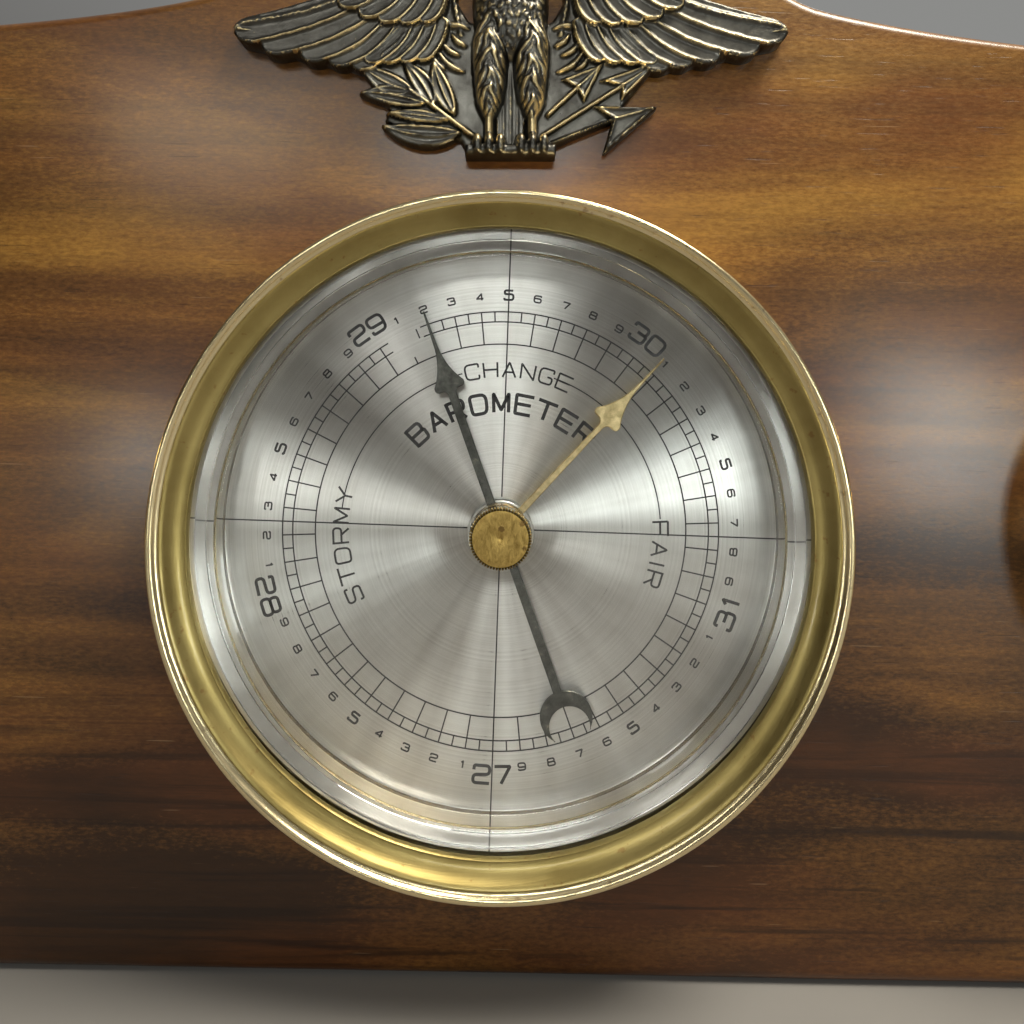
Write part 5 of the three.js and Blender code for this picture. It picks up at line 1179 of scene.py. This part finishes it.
feed(tree, shader, {"Base Color": colour, "Roughness": line_of(tree, grains, 0.35, 0.22)})
raise_by(tree, shader, sum_of(tree, grains, spots), 0.00003)
knob.make("knurled_set_knob", "set_hand", knurled_brass, ["set_knob"], sharp=50)

# Lens: one clear acrylic moulding. A flat window lies under the bezel, a skirt stands on the dial,
# and a boss in the middle carries the knob's shaft. Years of wiping have left fine scratches.
LENS_FRONT, LENS_WALL, SKIRT_WALL = 11.7, 1.7, 2.2
LENS_RIM = 2.4
FILLET = 0.9


def clear_acrylic(window):
    """Clear plastic, with fine scratches on its outside only"""
    finish, tree, shader = new_finish("clear_acrylic", Base_Color=(0.985, 0.992, 0.988, 1), IOR=1.49,
                                      Transmission_Weight=1.0, Roughness=0.0)
    lines = ramp(tree, grain(tree, (260, 40, 3200), (0, 0.7, 0), detail=2), [(0.74, 0.0), (0.78, 1.0)])
    crossed = ramp(tree, grain(tree, (3000, 40, 240), (0, 0.25, 0), detail=2), [(0.75, 0.0), (0.79, 1.0)])
    place = node_of(tree, "TexCoord", {}).outputs["Object"]
    depth = node_of(tree, "SeparateXYZ", {0: place}).outputs["Y"]
    outside = sum_of(tree, depth, -(BOARD_THICKNESS + window - 0.05) * MM, "LESS_THAN")
    scratches = product_of(tree, sum_of(tree, lines, crossed), outside)
    feed(tree, shader, {"Roughness": product_of(tree, scratches, 0.05)})
    raise_by(tree, shader, scratches, 0.000002, 0.2)
    return finish


def moulded_lens(name, node, sight_radius, window, centre, across=0.0):
    """A lens by its profile, ending at the middle with the given points"""
    rim = sight_radius + LENS_RIM
    outer = sight_radius - 0.4
    inner = sight_radius - 1 - SKIRT_WALL
    underside = window - LENS_WALL
    foot = DIAL_FRONT + SEAT
    skirt = [(rim, window - 0.3), (rim, underside), (outer + 0.3, underside),
             (outer + 0.05, underside - 0.25), (outer - 0.3, foot + 0.15), (outer - 0.5, foot),
             (inner + 0.2, foot), (inner, foot + 0.2)]
    fillet = [(inner - 0.3 - FILLET * (1 - math.cos(a)), underside - FILLET * (1 - math.sin(a)))
              for a in np.radians(np.linspace(0, 90, 6))]
    fillet.append((inner - 1.35, underside))
    lens = Skin(across)
    lens.turn(skirt + fillet + centre + [(rim - 0.3, window)], 256)
    lens.make(name, "plaque", clear_acrylic(window), [node]).visible_shadow = False


boss = [(6.05, 10.0), (5.9, 10.0), (5.35, 9.7), (5.2, 9.2), (5.2, 8.0), (5.1, 7.9), (1.7, 7.9),
        (1.7, LENS_FRONT)]
moulded_lens("moulded_barometer_lens", "barometer_lens", 54.4, LENS_FRONT, boss)

# Bezels: sheet brass spun over a former, with a rolled lip, a hollow sloping wall and a small
# bead against the lens, then polished and lacquered. Small dents and brown spots have come with age.
LIP_BEAD, SIGHT_BEAD = 0.75, 0.16
SHEET = 0.9


def polished_brass(across, lip_foot):
    """Spun and polished brass under a worn lacquer, coloured paler outside the lip's foot as a painted
    highlight
    """
    finish, tree, shader = new_finish("polished_brass", Metallic=1.0, Coat_Weight=0.2, Coat_Roughness=0.1)
    distance, direction = from_axis(tree, across)
    round_way = vector_of(tree, direction, (14, 14, 14), "MULTIPLY").outputs[0]
    streaks = vector_of(tree, round_way, rings_of(tree, distance, 5.0), "ADD").outputs[0]
    brushed = mottle(tree, streaks, detail=5, roughness=0.7)
    haze = grain(tree, 70, detail=5, roughness=0.6)
    dents = grain(tree, 160, detail=2, roughness=0.4)
    spots = ramp(tree, grain(tree, 650, detail=2), [(0.66, 0.0), (0.72, 1.0)])
    # Painted highlight and shade: one brass is coloured dark olive on the wall and pale on the lip, the
    # wall's colour standing in for shade and the lip's for a highlight.
    colour = ramp(tree, haze, [(0.3, (0.28, 0.21, 0.07, 1)), (0.6, (0.4, 0.31, 0.115, 1))])
    on_lip = sum_of(tree, distance, lip_foot, "GREATER_THAN")
    colour = blend_of(tree, product_of(tree, on_lip, 0.85), colour, (0.94, 0.78, 0.47, 1))
    colour = blend_of(tree, product_of(tree, spots, 0.5), colour, (0.22, 0.1, 0.03, 1))
    dull = line_of(tree, on_lip, -0.14, line_of(tree, brushed, 0.3, 0.22))
    feed(tree, shader, {"Base Color": colour, "Roughness": dull})
    raise_by(tree, shader, line_of(tree, dents, 1.5, brushed), 0.000025)
    return finish


def spun_bezel(name, node, radius, width, lip, front, edge, across=0.0):
    """A spun bezel from the board's face over the lip to the lens"""
    side = radius - 0.2
    sight = radius - width
    centre = front - LIP_BEAD
    slope = [(side, SEAT), (side, centre - 1.1), (side - 0.12, centre - 0.85)]
    roll = [(radius - LIP_BEAD + LIP_BEAD * math.cos(a), centre + LIP_BEAD * math.sin(a))
            for a in np.radians(np.linspace(-20, 165, 12))]
    foot = radius - lip
    groove = [(foot + 0.75, centre - 0.05), (foot + 0.5, centre - 0.12), (foot + 0.3, centre + 0.05),
              (foot + 0.1, centre)]
    drop = edge + 0.3 - centre
    cove = [(foot + (sight + 0.5 - foot) * s, centre + drop * s - 1.6 * s * (1 - s))
            for s in np.linspace(0, 1, 9)[1:]]
    bead = [(sight + 0.3 + SIGHT_BEAD * math.cos(a), edge + 0.2 + SIGHT_BEAD * math.sin(a))
            for a in np.radians(np.linspace(30, 180, 6))]
    inside = side - SHEET
    back = [(sight + 0.05, edge), (sight, edge - 0.2), (sight, edge - SHEET), (sight + 1.8, edge - SHEET),
            (inside, centre - 1.8), (inside, SEAT)]
    bezel = Skin(across)
    bezel.turn(slope + roll + groove + cove + bead + back, 256)
    bezel.make(name, "plaque", polished_brass(across, foot + 0.55), [node])


spun_bezel("spun_barometer_bezel", "barometer_bezel", 60.5, 6.1, 2.6, 16.15, 12.7)

# Thermometer and hygrometer: smaller instruments of the same make in the side bores. A coil of
# two metals turns the left hand with heat, and a treated coil turns the right one with damp.
SIDE_CIRCLES = (29.5, 31.2)
SIDE_FIGURES_RADIUS, SIGN_RADIUS = 22.0, 9.0
SIDE_FIGURES, SIGN = (2.9, 2.2, 0.46), (4.2, 3.8, 0.6)
SMALL_STEP, LONG_STEP = 2, 10
MINUS_SIGN = (-9.4, -7.2)


def side_scale(across, degrees_each, middle, low, high, number_step, sign):
    """Ink of a side dial: an arc ruled at each small step, upright figures and the sign for the unit"""
    scale = Skin(across)
    for radius in SIDE_CIRCLES:
        dial_arc(scale, radius, (low - middle) * degrees_each, (high - middle) * degrees_each)
    for value in range(low, high + 1, SMALL_STEP):
        inner = SIDE_CIRCLES[0] - (2.2 if value % LONG_STEP == 0 else 0)
        dial_ray(scale, inner, SIDE_CIRCLES[1], (value - middle) * degrees_each)
    for value in range(low, high + 1, number_step):
        angle = (value - middle) * degrees_each
        dial_words(scale, str(abs(value)), SIDE_FIGURES_RADIUS, angle, SIDE_FIGURES, 0.36, upright=True)
        if value < 0:
            minus = [round_dial(SIDE_FIGURES_RADIUS + 1.4, angle + turn) for turn in MINUS_SIGN]
            ink_line(scale, minus, 0.4)
    dial_words(scale, sign, SIGN_RADIUS, 180, SIGN, 0.3)
    return scale


def side_instrument(name, across, degrees_each, middle, low, high, number_step, sign, reading):
    """An instrument in a side bore, its hand at the given reading"""
    dress(moulded_black, name + "_case")
    dress(plated_steel, name + "_frame", name + "_arbor", name + "_case_screw_1", name + "_case_screw_2")
    dress(two_metal_strip, name + "_coil")
    spun_dial(across, 38.0, 1.6, "spun_" + name + "_dial", name + "_dial")
    scale = side_scale(across, degrees_each, middle, low, high, number_step, sign)
    scale.make("printed_" + name + "_scale", "plaque", printing_ink, slot=name + "_dial")
    hub = arc_points(0, HUB_RADIUS, 22, 158, 9)
    side = [(0.08, 27.0), (0.5, 19.0), (0.9, 2.2)] + hub + [(1.0, -2.3), (1.3, -9.0)]
    hand = stamp_hand(side, (reading - middle) * degrees_each + DIAL_TURN, 3.9, 0.9, across)
    hand.make("stamped_" + name + "_hand", name + "_hand", blacked_brass, [name + "_hand"])
    moulded_lens("moulded_" + name + "_lens", name + "_lens", 35.3, 8.4, [(0, 6.7), (0, 8.4)], across)
    spun_bezel("spun_" + name + "_bezel", name + "_bezel", 40.0, 4.7, 2.2, 12.0, 9.4, across)


side_instrument("thermometer", -SIDE_X, 2.0, 50, -20, 120, 20, "°F", 72)
side_instrument("hygrometer", SIDE_X, 2.8, 50, 0, 100, 10, "%", 45)

# Stage and light: a plain pale floor under the plaque, soft lamps above and beside it, and a dim
# room that is lighter overhead. Colours are shown as they are, without a film look.
FLOOR_HALF, FLOOR_Z = 3, -0.1449
corners = [(x * FLOOR_HALF, y * FLOOR_HALF, FLOOR_Z) for x, y in ((-1, -1), (1, -1), (1, 1), (-1, 1))]
floor_mesh = bpy.data.meshes.new("floor")
floor_mesh.from_pydata(corners, [], [(0, 1, 2, 3)])
floor = bpy.data.objects.new("floor", floor_mesh)
bpy.context.scene.collection.objects.link(floor)
pale_floor, tree, shader = new_finish("pale_floor", Base_Color=(0.24, 0.225, 0.21, 1), Roughness=0.8)
floor_mesh.materials.append(pale_floor)

room = bpy.data.worlds.new("room")
room.use_nodes = True
tree = room.node_tree
seen = node_of(tree, "TexCoord", {}).outputs["Generated"]
overhead = vector_of(tree, seen, (0.35, 0.3, 0.85), "DOT_PRODUCT").outputs["Value"]
sky = ramp(tree, line_of(tree, overhead, 0.5, 0.5), [
    (0.3, (0.03, 0.022, 0.016, 1)), (0.5, (0.14, 0.125, 0.11, 1)), (0.85, (0.62, 0.62, 0.6, 1))])
feed(tree, tree.nodes["Background"], {"Color": sky, "Strength": 0.42})
bpy.context.scene.world = room
bpy.context.scene.view_settings.view_transform = "Standard"


def add_lamp(name, place, target, width, height, power, colour=(1, 1, 1)):
    """A soft rectangular lamp that faces its target"""
    lamp = bpy.data.lights.new(name, "AREA")
    lamp.shape = "RECTANGLE"
    lamp.size, lamp.size_y, lamp.energy, lamp.color = width, height, power, colour
    holder = bpy.data.objects.new(name, lamp)
    holder.location = place
    holder.rotation_euler = (Vector(target) - Vector(place)).to_track_quat("-Z", "Y").to_euler()
    bpy.context.scene.collection.objects.link(holder)


add_lamp("ceiling_softbox", (-0.03, -0.9, 0.32), (0, 0, -0.03), 0.3, 0.1, 1.3, (0.97, 1, 0.96))
add_lamp("ceiling_left", (-0.4, -0.85, 0.36), (0, 0, -0.03), 0.24, 0.16, 0.7, (1, 0.99, 0.94))
add_lamp("right_window", (0.5, -0.75, -0.13), (0, 0, -0.06), 0.12, 0.3, 2.4, (0.93, 1, 0.97))
add_lamp("left_window", (-0.42, -0.8, -0.15), (0, 0, -0.06), 0.08, 0.14, 1.0, (0.97, 1, 0.95))
add_lamp("upper_right_softbox", (0.22, -0.15, 0.42), (0.03, 0, -0.02), 0.24, 0.2, 4.1, (1, 0.95, 0.82))
add_lamp("back_fill", (0.2, 0.9, 0.6), (0, 0, -0.03), 0.6, 0.6, 5)
